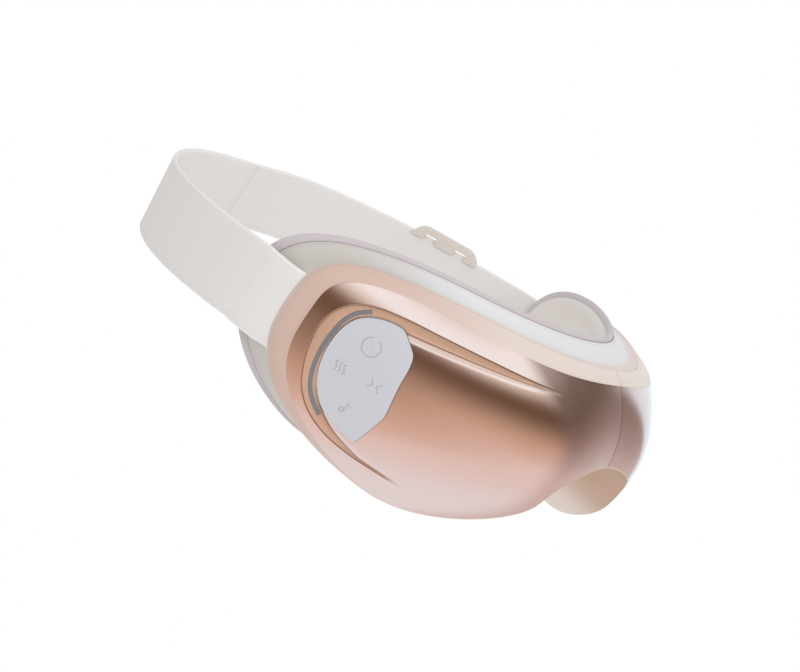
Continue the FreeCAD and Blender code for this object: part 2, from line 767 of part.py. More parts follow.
# Fold hinge: two leaves on the end of the plates, alternate knuckles on one pin
knuckle = (hinge_high - hinge_low) / hinge_knuckles
leaf_in = 0.5 * seam_gap + 0.25
leaf_out = leaf_in + 4.6
leaf_y = rim_y(leaf_out) + plate_front + plate_thick
leaves = {}
for side, first in ((-1, 0), (1, 1)):
    leaf = box(-leaf_out, -leaf_in, leaf_y, hinge_y - hinge_r - 0.15, hinge_low, hinge_high)
    for k in range(first, hinge_knuckles, 2):
        z0 = hinge_low + k * knuckle + 0.1
        barrel = Part.makeCylinder(hinge_r, knuckle - 0.2, V(0, hinge_y, z0))
        web = box(-hinge_r, -leaf_in, hinge_y - hinge_r - 0.5, hinge_y, z0, z0 + knuckle - 0.2)
        leaf = leaf.fuse([barrel, web])
    leaf = leaf.cut(Part.makeCylinder(hinge_pin_r + hinge_clear, far, V(0, hinge_y, -far / 2)))
    leaves[side] = leaf if side < 0 else mirrored(leaf)
save("hinge_leaf_right", leaves[-1])
save("hinge_leaf_left", leaves[1])
pin = Part.makeCylinder(hinge_pin_r, hinge_high - hinge_low + 1.0, V(0, hinge_y, hinge_low - 0.5))
save("hinge_pin", pin)

# Soft lining over the fold at the nose bridge
lining_z = (rim_apex + lip_width + 0.5, rim_up + brow_rise - lip_width - 0.5)
lining_y = hinge_y + hinge_r + 0.6
save("bridge_lining", box(-2.4, 2.4, lining_y, lining_y + 1.2, lining_z[0], lining_z[1]))


# Air pump, valve, battery and the two vibration motors, each seated on the plate
def block(size):
    return box(-size[0] / 2, size[0] / 2, -size[1] - layer_gap, -layer_gap, -size[2] / 2, size[2] / 2)


save("air_pump", on_plate(block(pump_size), pump_x, pump_z))
pump_motor_top = V(0, -pump_motor_r - layer_gap, -pump_size[2] / 2 - joint_gap)
pump_motor = Part.makeCylinder(pump_motor_r, pump_motor_length, pump_motor_top, V(0, 0, -1))
save("pump_motor", on_plate(pump_motor, pump_x, pump_z))
save("air_valve", on_plate(block(valve_size), valve_x, valve_z))
battery = block(battery_size)
battery = battery.makeFillet(2.0, [e for e in battery.Edges if abs(e.tangentAt(e.FirstParameter).x) > 0.9])
save("battery", on_plate(battery, battery_x, battery_z))

motor_axis_y = -motor_r - layer_gap - 0.6
motor = Part.makeCylinder(motor_r, motor_length, V(-motor_length / 2, motor_axis_y, 0), V(1, 0, 0))
motor_shaft = Part.makeCylinder(shaft_r, 5.0, V(-motor_length / 2, motor_axis_y, 0), V(-1, 0, 0))
cradle = box(-4.0, 4.0, motor_axis_y, -layer_gap, -motor_r - 1.2, motor_r + 1.2)
cradle = cradle.cut(Part.makeCylinder(motor_r + 0.05, far, V(-far / 2, motor_axis_y, 0), V(1, 0, 0)))
weight = Part.makeCylinder(weight_r, weight_length, V(-motor_length / 2 - 1.0, motor_axis_y, 0), V(-1, 0, 0))
weight = weight.cut(box(-far, far, -far, far, shaft_r + 0.6, far))
weight = weight.cut(Part.makeCylinder(shaft_r + 0.03, far, V(-far / 2, motor_axis_y, 0), V(1, 0, 0)))
shaker = {"vibration_motor": motor.fuse(motor_shaft), "motor_cradle": cradle, "vibration_weight": weight}
for name, piece in shaker.items():
    placed = on_plate(piece, -motor_x, motor_z)
    save(name + "_right", placed)
    save(name + "_left", mirrored(placed))

# Air hose and flat cable that cross the fold inside the end walls
pump_spot = plate_spot(pump_x, hose_z)
hose_from = pump_spot.multVec(V(pump_size[0] / 2 + layer_gap, -pump_size[1] / 2, 0))
hose_way = pump_spot.Rotation.multVec(V(1, 0, 0))
hose_reach = (hose_y - hose_from.y) / hose_way.y
hose_corner = hose_from.add(V(hose_way).multiply(hose_reach))
hose_end = V(valve_x - valve_size[0] / 2 - 0.4, hose_y, hose_z)
hose_cut = 0.45 * hose_reach
hose_in = hose_corner.sub(V(hose_way).multiply(hose_cut))
hose_out = hose_corner.add(V(hose_cut, 0, 0))
hose_turn = math.atan2(-hose_way.y, hose_way.x)
hose_bend = hose_cut / math.tan(hose_turn / 2)
hose_sag = hose_bend * (1 / math.cos(hose_turn / 2) - 1)
hose_inner = V(math.sin(hose_turn / 2), math.cos(hose_turn / 2), 0)
hose_mid = hose_corner.add(hose_inner.multiply(hose_sag))
hose_line = Part.Wire([Part.makeLine(hose_from, hose_in), Part.Arc(hose_in, hose_mid, hose_out).toShape(),
                       Part.makeLine(hose_out, hose_end)])
hose = []
for r in (hose_r, hose_bore_r):
    disc = Part.Wire([Part.makeCircle(r, hose_from, hose_way)])
    hose.append(hose_line.makePipeShell([disc], True, True))
save("air_hose", hose[0].cut(hose[1]))
save("flat_cable", box(-12.0, 12.0, ribbon_y - ribbon_thick / 2, ribbon_y + ribbon_thick / 2,
                       ribbon_z - ribbon_width / 2, ribbon_z + ribbon_width / 2))


# Free run of the strap from the crease beside the rim to the middle of the back of the head. The
# wearer's left has a short bend, a straight run that carries the buckle, then the round of the head
def strap_point(x):
    share = (1 - (x / strap_half) ** strap_round) ** (1 / strap_round)
    return (x, strap_side_y + (strap_back_y - strap_side_y) * share)


flat_run = V(strap_flat_end[0] - strap_flat_start[0], strap_flat_end[1] - strap_flat_start[1], 0)
flat_run.normalize()
start_run = V(math.sin(math.radians(strap_out)), math.cos(math.radians(strap_out)), 0)
bend = [(strap_half, strap_pivot_y + 0.1), strap_flat_start]
round_x = [strap_flat_end[0] * k for k in (0.8, 0.6, 0.4, 0.2)]
head = [strap_flat_end] + [strap_point(x) for x in round_x] + [(0.5 * seam_gap, strap_back_y)]
flat = [strap_flat_start, strap_flat_end]
spans = [(bend, start_run, flat_run), (flat, flat_run, flat_run), (head, flat_run, V(-1, 0, 0))]
spans = [webbing(line, strap_thick, -half_strap, half_strap, leave, arrive) for line, leave, arrive in spans]
left_run = spans[0].fuse(spans[1:])

# The wearer's right has no buckle and takes the round of the head all the way
oval = [(strap_half, strap_pivot_y + 0.1)]
for i in range(1, 12):
    turn = 0.5 * math.pi * i / 12
    oval.append((strap_half * math.cos(turn) ** (2 / strap_round),
                 strap_side_y + (strap_back_y - strap_side_y) * math.sin(turn) ** (2 / strap_round)))
oval.append((0.5 * seam_gap, strap_back_y))
runs = [start_run]
for i in (4, 8):
    runs.append(V(oval[i + 1][0] - oval[i - 1][0], oval[i + 1][1] - oval[i - 1][1], 0))
    runs[-1].normalize()
runs.append(V(-1, 0, 0))
spans = [webbing(oval[4 * i:4 * i + 5], strap_thick, -half_strap, half_strap, runs[i], runs[i + 1])
         for i in range(3)]
right_run = spans[0].fuse(spans[1:])

outer_y = strap_back_y + 0.5 * strap_thick
mitre_points = [V(0.5 * seam_gap - strap_mitre, outer_y + strap_thick, -far / 2),
                V(0.5 * seam_gap + 2 * strap_mitre, outer_y - 2 * strap_thick, -far / 2),
                V(-far, outer_y - 2 * strap_thick, -far / 2), V(-far, outer_y + strap_thick, -far / 2)]
mitre = Part.Face(Part.makePolygon(mitre_points + mitre_points[:1])).extrude(V(0, 0, far))
fall = strap_droop / (strap_back_y - strap_pivot_y)
shear = FreeCAD.Matrix()
shear.A32 = fall
shear.A34 = -fall * strap_pivot_y
save("strap_left", left_run.cut(mitre).removeSplitter().transformGeometry(shear))
save("strap_right", mirrored(right_run.cut(mitre).removeSplitter().transformGeometry(shear)))

# Buckle on the wearer's-left run: three bars outside the webbing between two rails, whose lips
# hold the webbing's edges from inside; it slides along the straight part
buckle = box(-buckle_length / 2, buckle_length / 2, -buckle_thick / 2, buckle_thick / 2,
             -buckle_height / 2, buckle_height / 2)
corners = [e for e in buckle.Edges if abs(e.tangentAt(e.FirstParameter).y) > 0.9]
buckle = buckle.makeFillet(buckle_corner, corners)
passage = box(-far, far, -strap_thick / 2 - buckle_clear, strap_thick / 2 + buckle_clear,
              -half_strap - buckle_clear, half_strap + buckle_clear)
buckle = buckle.cut(passage)
lip_half = half_strap - buckle_lip
buckle = buckle.cut(box(-far, far, 0, far, -lip_half, lip_half))
window_half = buckle_height / 2 - buckle_rail
for side in (-1, 1):
    inner_end = side * buckle_mid_bar / 2
    outer_end = side * (buckle_length / 2 - buckle_end_bar)
    window = box(min(inner_end, outer_end), max(inner_end, outer_end), -far, 0, -window_half, window_half)
    buckle = buckle.cut(window)
along = V(flat_run.x, flat_run.y, fall * flat_run.y)
along.normalize()
inward = V(-flat_run.y, flat_run.x, 0)
upward = along.cross(inward)
spot = V(strap_flat_start[0], strap_flat_start[1], 0).add(V(flat_run).multiply(buckle_place))
spot.z = fall * (spot.y - strap_pivot_y)
buckle.Placement = FreeCAD.Placement(FreeCAD.Matrix(
    along.x, inward.x, upward.x, spot.x, along.y, inward.y, upward.y, spot.y,
    along.z, inward.z, upward.z, spot.z, 0, 0, 0, 1))
save("strap_buckle", buckle)
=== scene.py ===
import json
import math
import bmesh
import bpy
import numpy as np
from mathutils import Matrix, Vector
from mathutils.geometry import delaunay_2d_cdt
from mathutils.kdtree import KDTree


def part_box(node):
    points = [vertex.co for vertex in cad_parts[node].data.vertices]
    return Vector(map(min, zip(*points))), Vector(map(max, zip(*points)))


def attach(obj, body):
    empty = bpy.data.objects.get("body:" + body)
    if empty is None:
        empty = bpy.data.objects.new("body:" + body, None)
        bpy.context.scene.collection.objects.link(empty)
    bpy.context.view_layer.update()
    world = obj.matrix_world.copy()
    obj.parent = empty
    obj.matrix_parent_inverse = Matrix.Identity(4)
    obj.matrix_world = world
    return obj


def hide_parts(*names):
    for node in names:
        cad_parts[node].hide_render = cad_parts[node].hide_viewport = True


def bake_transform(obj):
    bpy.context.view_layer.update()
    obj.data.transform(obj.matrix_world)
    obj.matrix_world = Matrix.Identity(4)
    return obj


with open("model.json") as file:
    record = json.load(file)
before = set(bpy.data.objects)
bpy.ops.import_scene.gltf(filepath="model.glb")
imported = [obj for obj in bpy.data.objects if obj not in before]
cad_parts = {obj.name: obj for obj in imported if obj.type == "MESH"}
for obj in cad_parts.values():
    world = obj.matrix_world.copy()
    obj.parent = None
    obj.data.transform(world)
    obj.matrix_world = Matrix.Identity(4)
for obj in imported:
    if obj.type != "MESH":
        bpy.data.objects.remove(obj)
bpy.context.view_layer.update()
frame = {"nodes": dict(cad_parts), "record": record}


# Front shells: two moulded covers in polished rose-gold metallic lacquer, one for each half of the
# mask. A crease and a sloped terrace run round the wing, and the dome rises again inside them.
# The mask is drawn in millimetres from the strap's height, and SEAT moves it to its rest place.
SEAT = np.array([0.0, -64.41, 39.08])
halves = ((-1, "right"), (1, "left"))
rim_half = 103.5
wing_lift = 4.8
seam_gap = 0.15
shell_half, shell_up, shell_down = 103.6, 34.1, 43.8
shell_wall = 1.8
shell_inset = 0.62
pad_gap, guide_slot = 0.2, 1.5
crease_shade_wide, inner_crease_shade = 0.17, 0.7
wing_shape = (3.75, 3.4, 4.9, 2.7)
shell_form = dict(half=shell_half, up=shell_up, down=shell_down, shape=wing_shape, apex=8.2, grow=0.0)


def lift(x):
    return wing_lift * (np.abs(x) / rim_half) ** 3


def bow(x, mid, tip, half, power):
    return mid + (tip - mid) * (np.abs(x) / half) ** power


def ease(t):
    t = np.clip(t, 0, 1)
    return t * t * (3 - 2 * t)


def respace(line, count):
    run = np.r_[0, np.cumsum(np.hypot(*np.diff(line, axis=0).T))]
    at = np.linspace(0, run[-1], count + 1)
    return np.stack([np.interp(at, run, line[:, k]) for k in (0, 1)], 1)


def soften(line, steps=300, reach=5):
    line = respace(line, steps)
    for _ in range(3):
        new = line.copy()
        for i in range(1, steps):
            k = min(reach, i, steps - i)
            new[i] = line[i - k:i + k + 1].mean(0)
        line = new
    return line


# Half an outline in front view, from the brow over the wing tip and up the nose notch: x, z, and
# the share of the way up the notch. It has as many points above the tip as below it. Its shape is
# four rounding powers: the brow's across and up, and the cheek's across and down.
def outline(inset, half, up, down, shape, apex, grow):
    side, nose = 140, 90
    half, up, down = half - inset, up - inset, down - inset
    apex, grow = apex + inset, grow + inset
    brow_rise, brow_reach = 1.4, 60.0
    foot, reach = -12.0 + 0.6 * grow, 32.0 + grow
    cheek_reach, cheek_fall = 76.0, 30.0
    notch_power, join = 2.5, 4.0
    t = np.linspace(0, math.pi / 2, 6001)
    cos = np.clip(np.cos(t), 0, None)
    x = half * np.sin(t) ** (2 / shape[0])
    brow = brow_rise * np.clip(1 - (x / brow_reach) ** 2, 0, None) ** 2
    top = np.stack([x, up * cos ** (2 / shape[1]) + brow + lift(x)], 1)
    x = half * cos ** (2 / shape[2])
    x[-1] = 0
    z = -down * np.sin(t) ** (2 / shape[3]) + lift(x)
    arch = foot + (apex - foot) * np.clip(1 - (x / reach) ** notch_power, 0, None) ** (1 / notch_power)
    fall = np.clip((x - reach) / (cheek_reach - reach), 0, 1)
    notch = np.where(x < reach, arch, foot - cheek_fall * (1 - (1 - fall) ** 2))
    low = np.stack([x, 0.5 * (z + notch + np.sqrt((z - notch) ** 2 + join ** 2))], 1)
    low[0] = top[-1]
    low = soften(low)
    deep = low[:, 1].argmin()
    parts = [respace(top, side + nose), respace(low[:deep + 1], side)[1:], respace(low[deep:], nose)[1:]]
    share = np.r_[np.zeros(len(parts[0]) + side), np.arange(1, nose + 1) / nose]
    return np.c_[np.concatenate(parts), share]


# The plain front: bowed in plan, domed in height, with a soft bump before each eye
def front_y(x, z):
    dome, dome_power = 14.6, 2.43
    bump_rise, bump_at, bump_wide = 3.5, 30.0, 20.0
    part = np.abs(x) / shell_half
    zz = z - lift(x)
    share = np.abs(zz) / np.where(zz > 0, shell_up, shell_down)
    bump = bump_rise * np.exp(-((np.abs(x) - bump_at) / bump_wide) ** 2) * (1 - np.minimum(share, 1) ** 2)
    plan = bow(x, mid=-24.2, tip=44.6, half=shell_half, power=2.5)
    return plan - dome * (1 - part ** 4 - share ** dome_power) - bump


def slopes(surface, x, z, h=0.05):
    return ((surface(x + h, z) - surface(x - h, z)) / (2 * h),
            (surface(x, z + h) - surface(x, z - h)) / (2 * h))


# A smooth curve through points, by chord lengths
def curve(points, count, closed=False, leave=None, arrive=None):
    p = np.asarray(points, float)
    if closed:
        p = np.r_[p[-2:], p, p[:3]]
    t = np.r_[0, np.cumsum(np.linalg.norm(np.diff(p, axis=0), axis=1))]
    m = np.gradient(p, t, axis=0)
    if leave is not None:
        m[0], m[-1] = leave, arrive
    first, last = (2, len(p) - 3) if closed else (0, len(p) - 1)
    at = np.linspace(t[first], t[last], count + 1)
    i = np.clip(np.searchsorted(t, at, "right") - 1, 0, len(p) - 2)
    h = (t[i + 1] - t[i])[:, None]
    s = ((at - t[i]) / h[:, 0])[:, None]
    out = ((1 + 2 * s) * (1 - s) ** 2 * p[i] + s * (1 - s) ** 2 * h * m[i]
           + s ** 2 * (3 - 2 * s) * p[i + 1] - s ** 2 * (1 - s) * h * m[i + 1])
    return out[:-1] if closed else out


# The crease's line on the shell from the brow round the wing tip, with its way out on the surface,
# how far it opens, and how wide and deep its terrace is
crease_steps = 360
stations = np.arange(crease_steps + 1)
crease_flat = curve([(38, 28.4), (52, 27.2), (68, 25.2), (80.8, 22.4), (88.5, 20.0), (93.5, 17.4), (97, 14.0),
                     (99.4, 8.8), (100.6, 1.5), (100.2, -7.0), (98.6, -15.5), (96.1, -22.2), (92.4, -27.1),
                     (87.5, -30.0), (81.5, -30.9), (75, -30.6), (66, -30.0)], 3000)
crease_flat[:, 1] += lift(crease_flat[:, 0])
crease_flat = respace(crease_flat, crease_steps)
crease_x, crease_z = crease_flat.T
crease_at = np.stack([crease_x, front_y(crease_x, crease_z), crease_z], 1)
crease_way = np.gradient(crease_at, axis=0)
crease_step = np.linalg.norm(crease_way, axis=1)
crease_way /= crease_step[:, None]
steep_x, steep_z = slopes(front_y, crease_x, crease_z)
crease_out = np.cross(np.stack([steep_x, -np.ones_like(steep_x), steep_z], 1), crease_way)
crease_out /= np.linalg.norm(crease_out, axis=1)[:, None]
above = stations < crease_x.argmax()
brow_end, brow_run, cheek_end, cheek_run = 38.5, 26.0, 66.5, 15.0
open_top, open_low = (crease_x - brow_end) / brow_run, (crease_x - cheek_end) / cheek_run
crease_open = np.where(above, ease(open_top), ease(open_low))
wide_top = np.interp(crease_x, [38, 46, 73, 90, 95, 100.6], [0.5, 0.6, 2.9, 4.5, 6.4, 7.5])
wide_low = np.interp(crease_x, [66, 79, 85, 92, 96, 98.5, 100.6], [0.5, 0.6, 2.2, 4.2, 5.1, 6.2, 7.5])
crease_wide = np.where(above, wide_top, wide_low)
corner = 0.3 * ease((crease_x - 84) / 12) * ease((crease_z - 1) / 12)
crease_deep = (0.3 + 0.85 * np.clip(crease_wide / 4.5, 0, 1)) * (1 + corner)


def nearest_crease(x, z):
    p = np.stack([np.abs(x), front_y(x, z), z], 1)
    groups = np.array_split(p, len(p) // 2000 + 1)
    return np.concatenate([((q[:, None] - crease_at) ** 2).sum(2).argmin(1) for q in groups])


# Distance on the surface from the crease, positive outside it, and its terrace's width, opening and depth
def crease(x, z, k):
    p = np.stack([np.abs(x), front_y(x, z), z], 1) - crease_at[k]
    at = k + (p * crease_way[k]).sum(1) / crease_step[k]
    wide, opened, deep = (np.interp(at, stations, v) for v in (crease_wide, crease_open, crease_deep))
    past = np.abs(at - np.clip(at, 0, crease_steps))
    opened = opened * (1 - ease((past - 0.5) / 4))
    return (p * crease_out[k]).sum(1), wide, opened, deep * opened


# The shell's outer face: the plain front, sunk along its own normal by the crease and its terrace.
# The inner face lies behind it by the wall.
def shell_at(x, z, k, wall=0.0):
    lip, lip_wide = 0.08, 0.5
    fillet_wide, fillet_power = 2.4, 2.2
    outer_groove, outer_wide = 0.05, 0.2
    inner_groove, inner_wide = 0.14, 0.26
    least_wall = 0.6
    d, wide, opened, deep = crease(x, z, k)
    edge = lip * np.clip(1 - d / lip_wide, 0, 1) ** 2
    terrace = lip + (deep - lip) * np.clip(-d / wide, 0, 1)
    fillet = deep * np.clip(1 - (-d - wide) / fillet_wide, 0, 1) ** fillet_power
    grooves = (outer_groove * np.exp(-(d / outer_wide) ** 2)
               + inner_groove * np.exp(-((d + wide) / inner_wide) ** 2))
    depth = np.where(d > 0, edge, np.where(-d < wide, terrace, fillet)) * np.clip(opened * 3, 0, 1)
    depth = depth + grooves * np.clip(opened * 4, 0, 1)
    if wall:
        depth = np.maximum(wall, depth + least_wall)
    yx, yz = slopes(front_y, x, z)
    inward = np.stack([-yx, np.ones_like(yx), -yz], 1) / np.sqrt(1 + yx ** 2 + yz ** 2)[:, None]
    return np.stack([x, front_y(x, z), z], 1) + inward * depth[:, None]


def to_row(points):
    return (np.asarray(points, float) + SEAT) / 1000.0


def linear(*rgb):
    return [c / 12.92 if c <= 0.04045 else ((c + 0.055) / 1.055) ** 2.4 for c in (v / 255 for v in rgb)]


# A shader value with arithmetic, the tree that makes its nodes, and a finish that holds one shader
class Value:
    def __init__(self, nodes, socket):
        self.nodes, self.socket = nodes, socket

    def do(self, kind, a, b):
        return self.nodes.node("ShaderNodeMath", {"operation": kind}, {0: a, 1: b})

    def __add__(self, other):
        return self.do("ADD", self, other)

    def __rsub__(self, other):
        return self.do("SUBTRACT", other, self)

    def __mul__(self, other):
        return self.do("MULTIPLY", self, other)

    def __abs__(self):
        return self.do("ABSOLUTE", self, 0.0)

    def sine(self):
        return self.do("SINE", self, 0.0)

    __radd__, __rmul__ = __add__, __mul__


class Nodes:
    def __init__(self, holder):
        holder.use_nodes = True
        self.tree = holder.node_tree

    def join(self, socket, value):
        if isinstance(value, Value):
            self.tree.links.new(value.socket, socket)
        else:
            socket.default_value = value

    def node(self, kind, settings=None, values=None, out=0):
        made = self.tree.nodes.new(kind)
        for key, value in (settings or {}).items():
            setattr(made, key, value)
        for key, value in (values or {}).items():
            self.join(made.inputs[key], value)
        return Value(self, made.outputs[out])


class Finish(Nodes):
    def __init__(self, name, colour, **constants):
        self.material = bpy.data.materials.new(name)
        super().__init__(self.material)
        self.shader = self.tree.nodes["Principled BSDF"]
        self.set(Base_Color=(*linear(*colour), 1), **constants)

    def set(self, **values):
        for key, value in values.items():
            self.join(self.shader.inputs[key.replace("_", " ")], value)

    def place(self):
        return self.node("ShaderNodeTexCoord", out="Object")

    def axis(self, letter):
        return self.node("ShaderNodeSeparateXYZ", None, {0: self.place()}, out=letter)

    def attribute(self, key):
        return self.node("ShaderNodeAttribute", {"attribute_name": key}, out="Fac")

    def grain(self, scale, spread, least):
        noise = self.node("ShaderNodeTexNoise", None, {"Vector": self.place(), "Scale": scale})
        return noise * spread + least

    # Sockets 6 and 7 are the two colours of a Mix node, and its output 2 is the mixed colour
    def tints(self, factor, first, second):
        first, second = (c if isinstance(c, Value) else (*linear(*c), 1) for c in (first, second))
        return self.node("ShaderNodeMix", {"data_type": "RGBA"}, {0: factor, 6: first, 7: second}, out=2)

    def fade(self, value, low, high):
        limits = {"Value": value, "From Min": low, "From Max": high}
        return self.node("ShaderNodeMapRange", {"interpolation_type": "SMOOTHSTEP"}, limits)

    def bump(self, height, strength, distance):
        relief = {"Height": height, "Strength": strength, "Distance": distance}
        self.set(Normal=self.node("ShaderNodeBump", None, relief))


def build(name, points, faces, finish, sharp=35.0):
    mesh = bpy.data.meshes.new(name)
    mesh.from_pydata(to_row(points).tolist(), [], [list(map(int, f)) for f in faces])
    work = bmesh.new()
    work.from_mesh(mesh)
    bmesh.ops.remove_doubles(work, verts=work.verts, dist=2e-7)
    bmesh.ops.recalc_face_normals(work, faces=work.faces)
    work.to_mesh(mesh)
    work.free()
    mesh.shade_smooth()
    mesh.set_sharp_from_angle(angle=math.radians(sharp))
    mesh.materials.append(finish.material)
    piece = bpy.data.objects.new(name, mesh)
    bpy.context.scene.collection.objects.link(piece)
    return piece


def grid_faces(rows, columns, closed=False):
    last = columns if closed else columns - 1
    return [(j * columns + i, j * columns + (i + 1) % columns, (j + 1) * columns + (i + 1) % columns,
             (j + 1) * columns + i) for j in range(rows - 1) for i in range(last)]


# A sheet with a front and a back, closed all round its edges
def thicken(points, faces, back):
    count = len(points)
    sides = {(a, b) for f in faces for a, b in zip(f, f[1:] + f[:1])}
    walls = [(b, a, a + count, b + count) for a, b in sides if (b, a) not in sides]
    return np.r_[points, back], faces + [tuple(v + count for v in reversed(f)) for f in faces] + walls


def cut(piece, points, faces):
    tool = build("cutter", points, faces, rose_gold)
    change = piece.modifiers.new("cut", "BOOLEAN")
    change.operation, change.solver, change.object = "DIFFERENCE", "EXACT", tool
    made = bpy.data.meshes.new_from_object(piece.evaluated_get(bpy.context.evaluated_depsgraph_get()))
    piece.modifiers.clear()
    piece.data = made
    bpy.data.objects.remove(tool)


# The keypad's frame on the right-hand shell, u along it, v up it and n out of it, and the outlines
# of the pad and the light guide there, which the shell is cut for
pad_x, pad_z = -90.4, -2.0
slope_x, slope_z = slopes(front_y, pad_x, pad_z, 0.25)
pad_n = np.array([slope_x, -1.0, slope_z])
pad_n /= np.linalg.norm(pad_n)
pad_u = np.cross([0, 0, 1], pad_n)
pad_u /= np.linalg.norm(pad_u)
pad_v = np.cross(pad_n, pad_u)
pad_c = np.array([pad_x, front_y(pad_x, pad_z), pad_z])
pad_line = curve([(-12.9, 15.7), (-10.2, 18.2), (-7.0, 20.0), (-3.3, 21.2), (0.6, 21.75), (1.7, 21.75),
                  (2.5, 21.45), (5.1, 20.0), (7.9, 18.0), (9.5, 16.6), (10.4, 14.8), (11.1, 11.8),
                  (11.7, 6.2), (12.55, 0.8), (13.5, -3.9), (13.85, -6.0), (13.95, -7.0), (13.85, -8.1),
                  (13.5, -9.9), (12.4, -14.9), (11.1, -19.8), (10.7, -21.0), (10.2, -21.55), (9.4, -21.6),
                  (6.1, -21.15), (2.2, -20.3), (-2.3, -18.65), (-5.8, -16.9), (-9.2, -13.85), (-12.1, -9.85),
                  (-13.95, -5.75), (-15.3, -0.75), (-15.75, 4.9), (-15.4, 9.3), (-14.4, 12.9)],
                 260, closed=True)
light_line = curve([(-10.2, 20.6), (-14.3, 16.9), (-16.1, 13.3), (-17.1, 6.0), (-16.7, -2.5), (-14.6, -10.2),
                    (-12.1, -14.6), (-8.3, -18.2), (-4.5, -20.6)], 70)


def on_pad(uv, rise):
    uv = np.atleast_2d(uv)
    p = pad_c + uv[:, :1] * pad_u + uv[:, 1:] * pad_v
    for _ in range(30):
        p = p + ((front_y(p[:, 0], p[:, 2]) - p[:, 1]) * pad_n[1])[:, None] * pad_n
    return p + np.asarray(rise).reshape(-1, 1) * pad_n


def grown(line, out):
    ahead = np.roll(line, -1, 0) - np.roll(line, 1, 0)
    ahead /= np.linalg.norm(ahead, axis=1)[:, None]
    turn = np.sign(np.sum(line[:, 0] * np.roll(line[:, 1], -1) - line[:, 1] * np.roll(line[:, 0], -1)))
    return line + out * turn * np.stack([ahead[:, 1], -ahead[:, 0]], 1)


def ribbon(line, width):
    ahead = np.gradient(line, axis=0)
    ahead /= np.linalg.norm(ahead, axis=1)[:, None]
    across = np.stack([-ahead[:, 1], ahead[:, 0]], 1) * width / 2
    return np.r_[line + across, (line - across)[::-1]]


def prism(loop, reach=6.0):
    n = len(loop)
    points = np.r_[on_pad(loop, -reach), on_pad(loop, reach)]
    walls = [(i, (i + 1) % n, n + (i + 1) % n, n + i) for i in range(n)]
    return points, walls + [tuple(range(n - 1, -1, -1)), tuple(range(n, 2 * n))]


def inside(loops, points):
    odd = np.zeros(len(points), bool)
    for loop in loops:
        for a, b in zip(loop, np.roll(loop, -1, 0)):
            span = (a[1] > points[:, 1]) != (b[1] > points[:, 1])
            rise = np.where(b[1] == a[1], 1, b[1] - a[1])
            odd ^= span & (points[:, 0] < (b[0] - a[0]) * (points[:, 1] - a[1]) / rise + a[0])
    return odd


def clearance(points, line):
    return np.hypot(*(points[:, None] - line).transpose(2, 0, 1)).min(1)


# Triangles that fill closed loops and keep to open lines inside them
def fill(loops, lines, loose):
    flat = np.concatenate(loops + lines + [loose])
    edges, start = [], 0
    for line in loops:
        edges += [(start + i, start + (i + 1) % len(line)) for i in range(len(line))]
        start += len(line)
    for line in lines:
        edges += [(start + i, start + i + 1) for i in range(len(line) - 1)]
        start += len(line)
    made = delaunay_2d_cdt([Vector(p) for p in flat], edges, [], 0, 1e-5)
    flat = np.array([tuple(p) for p in made[0]])
    faces = [tuple(f) for f in made[2]]
    centre = np.array([flat[list(f)].mean(0) for f in faces])
    return flat, [f for f, ok in zip(faces, inside(loops, centre)) if ok]


# The surface's own normals, given to each face of the mesh that lies on it. Returns the nearest of
# the surface's points for each vertex.
def shade(piece, points, surface, x, z, k=None, h=0.02):
    on_face, near = 0.12, 1.5
    across, up = surface(x + h, z, k) - surface(x - h, z, k), surface(x, z + h, k) - surface(x, z - h, k)
    normal = np.cross(across, up)
    normal /= np.linalg.norm(normal, axis=1)[:, None]
    tree = KDTree(len(points))
    for i, p in enumerate(points):
        tree.insert(p, i)
    tree.balance()
    mesh = piece.data
    on, turned, source = [], [], []
    for vertex in mesh.vertices:
        p = np.array(vertex.co) * 1000.0 - SEAT
        found = tree.find_n(p, 3)
        share = np.array([1 / (f[2] + 1e-4) for f in found])
        mixed = (normal[[f[1] for f in found]] * share[:, None]).sum(0)
        first = found[0][1]
        on.append(abs((p - points[first]) @ normal[first]) < on_face and found[0][2] < near)
        turned.append(mixed / np.linalg.norm(mixed))
        source.append(first)
    given = np.zeros((len(mesh.loops), 3))
    for face in mesh.polygons:
        if all(on[v] for v in face.vertices):
            given[list(face.loop_indices)] = [turned[v] for v in face.vertices]
    mesh.normals_split_custom_set(given.tolist())
    return source


def set_points(mesh, key, values):
    mesh.attributes.new(key, "FLOAT", "POINT").data.foreach_set("value", values.astype(np.float32))


# The dark brown is painted shade, laid into the lacquer along the creases
lacquer, terrace_satin, crease_shade_brown = (221, 190, 180), (222, 184, 160), (112, 78, 62)
rose_gold = Finish("rose_gold", lacquer, Coat_Weight=0.8, Coat_Roughness=0.08)
crease_shade, satin = rose_gold.attribute("crease_shade"), rose_gold.attribute("satin")
tone = rose_gold.tints(satin, lacquer, terrace_satin)
rose_gold.set(Base_Color=rose_gold.tints(crease_shade, tone, crease_shade_brown), Metallic=1 - satin * 0.5)
rose_gold.set(Roughness=rose_gold.grain(350.0, 0.012, 0.13) + satin * 0.15)
edge = outline(shell_inset, **shell_form)[:, :2]
edge[:, 0] = np.maximum(edge[:, 0], seam_gap)
border = np.r_[edge, np.linspace(edge[-1], edge[0], 24)[1:-1]]

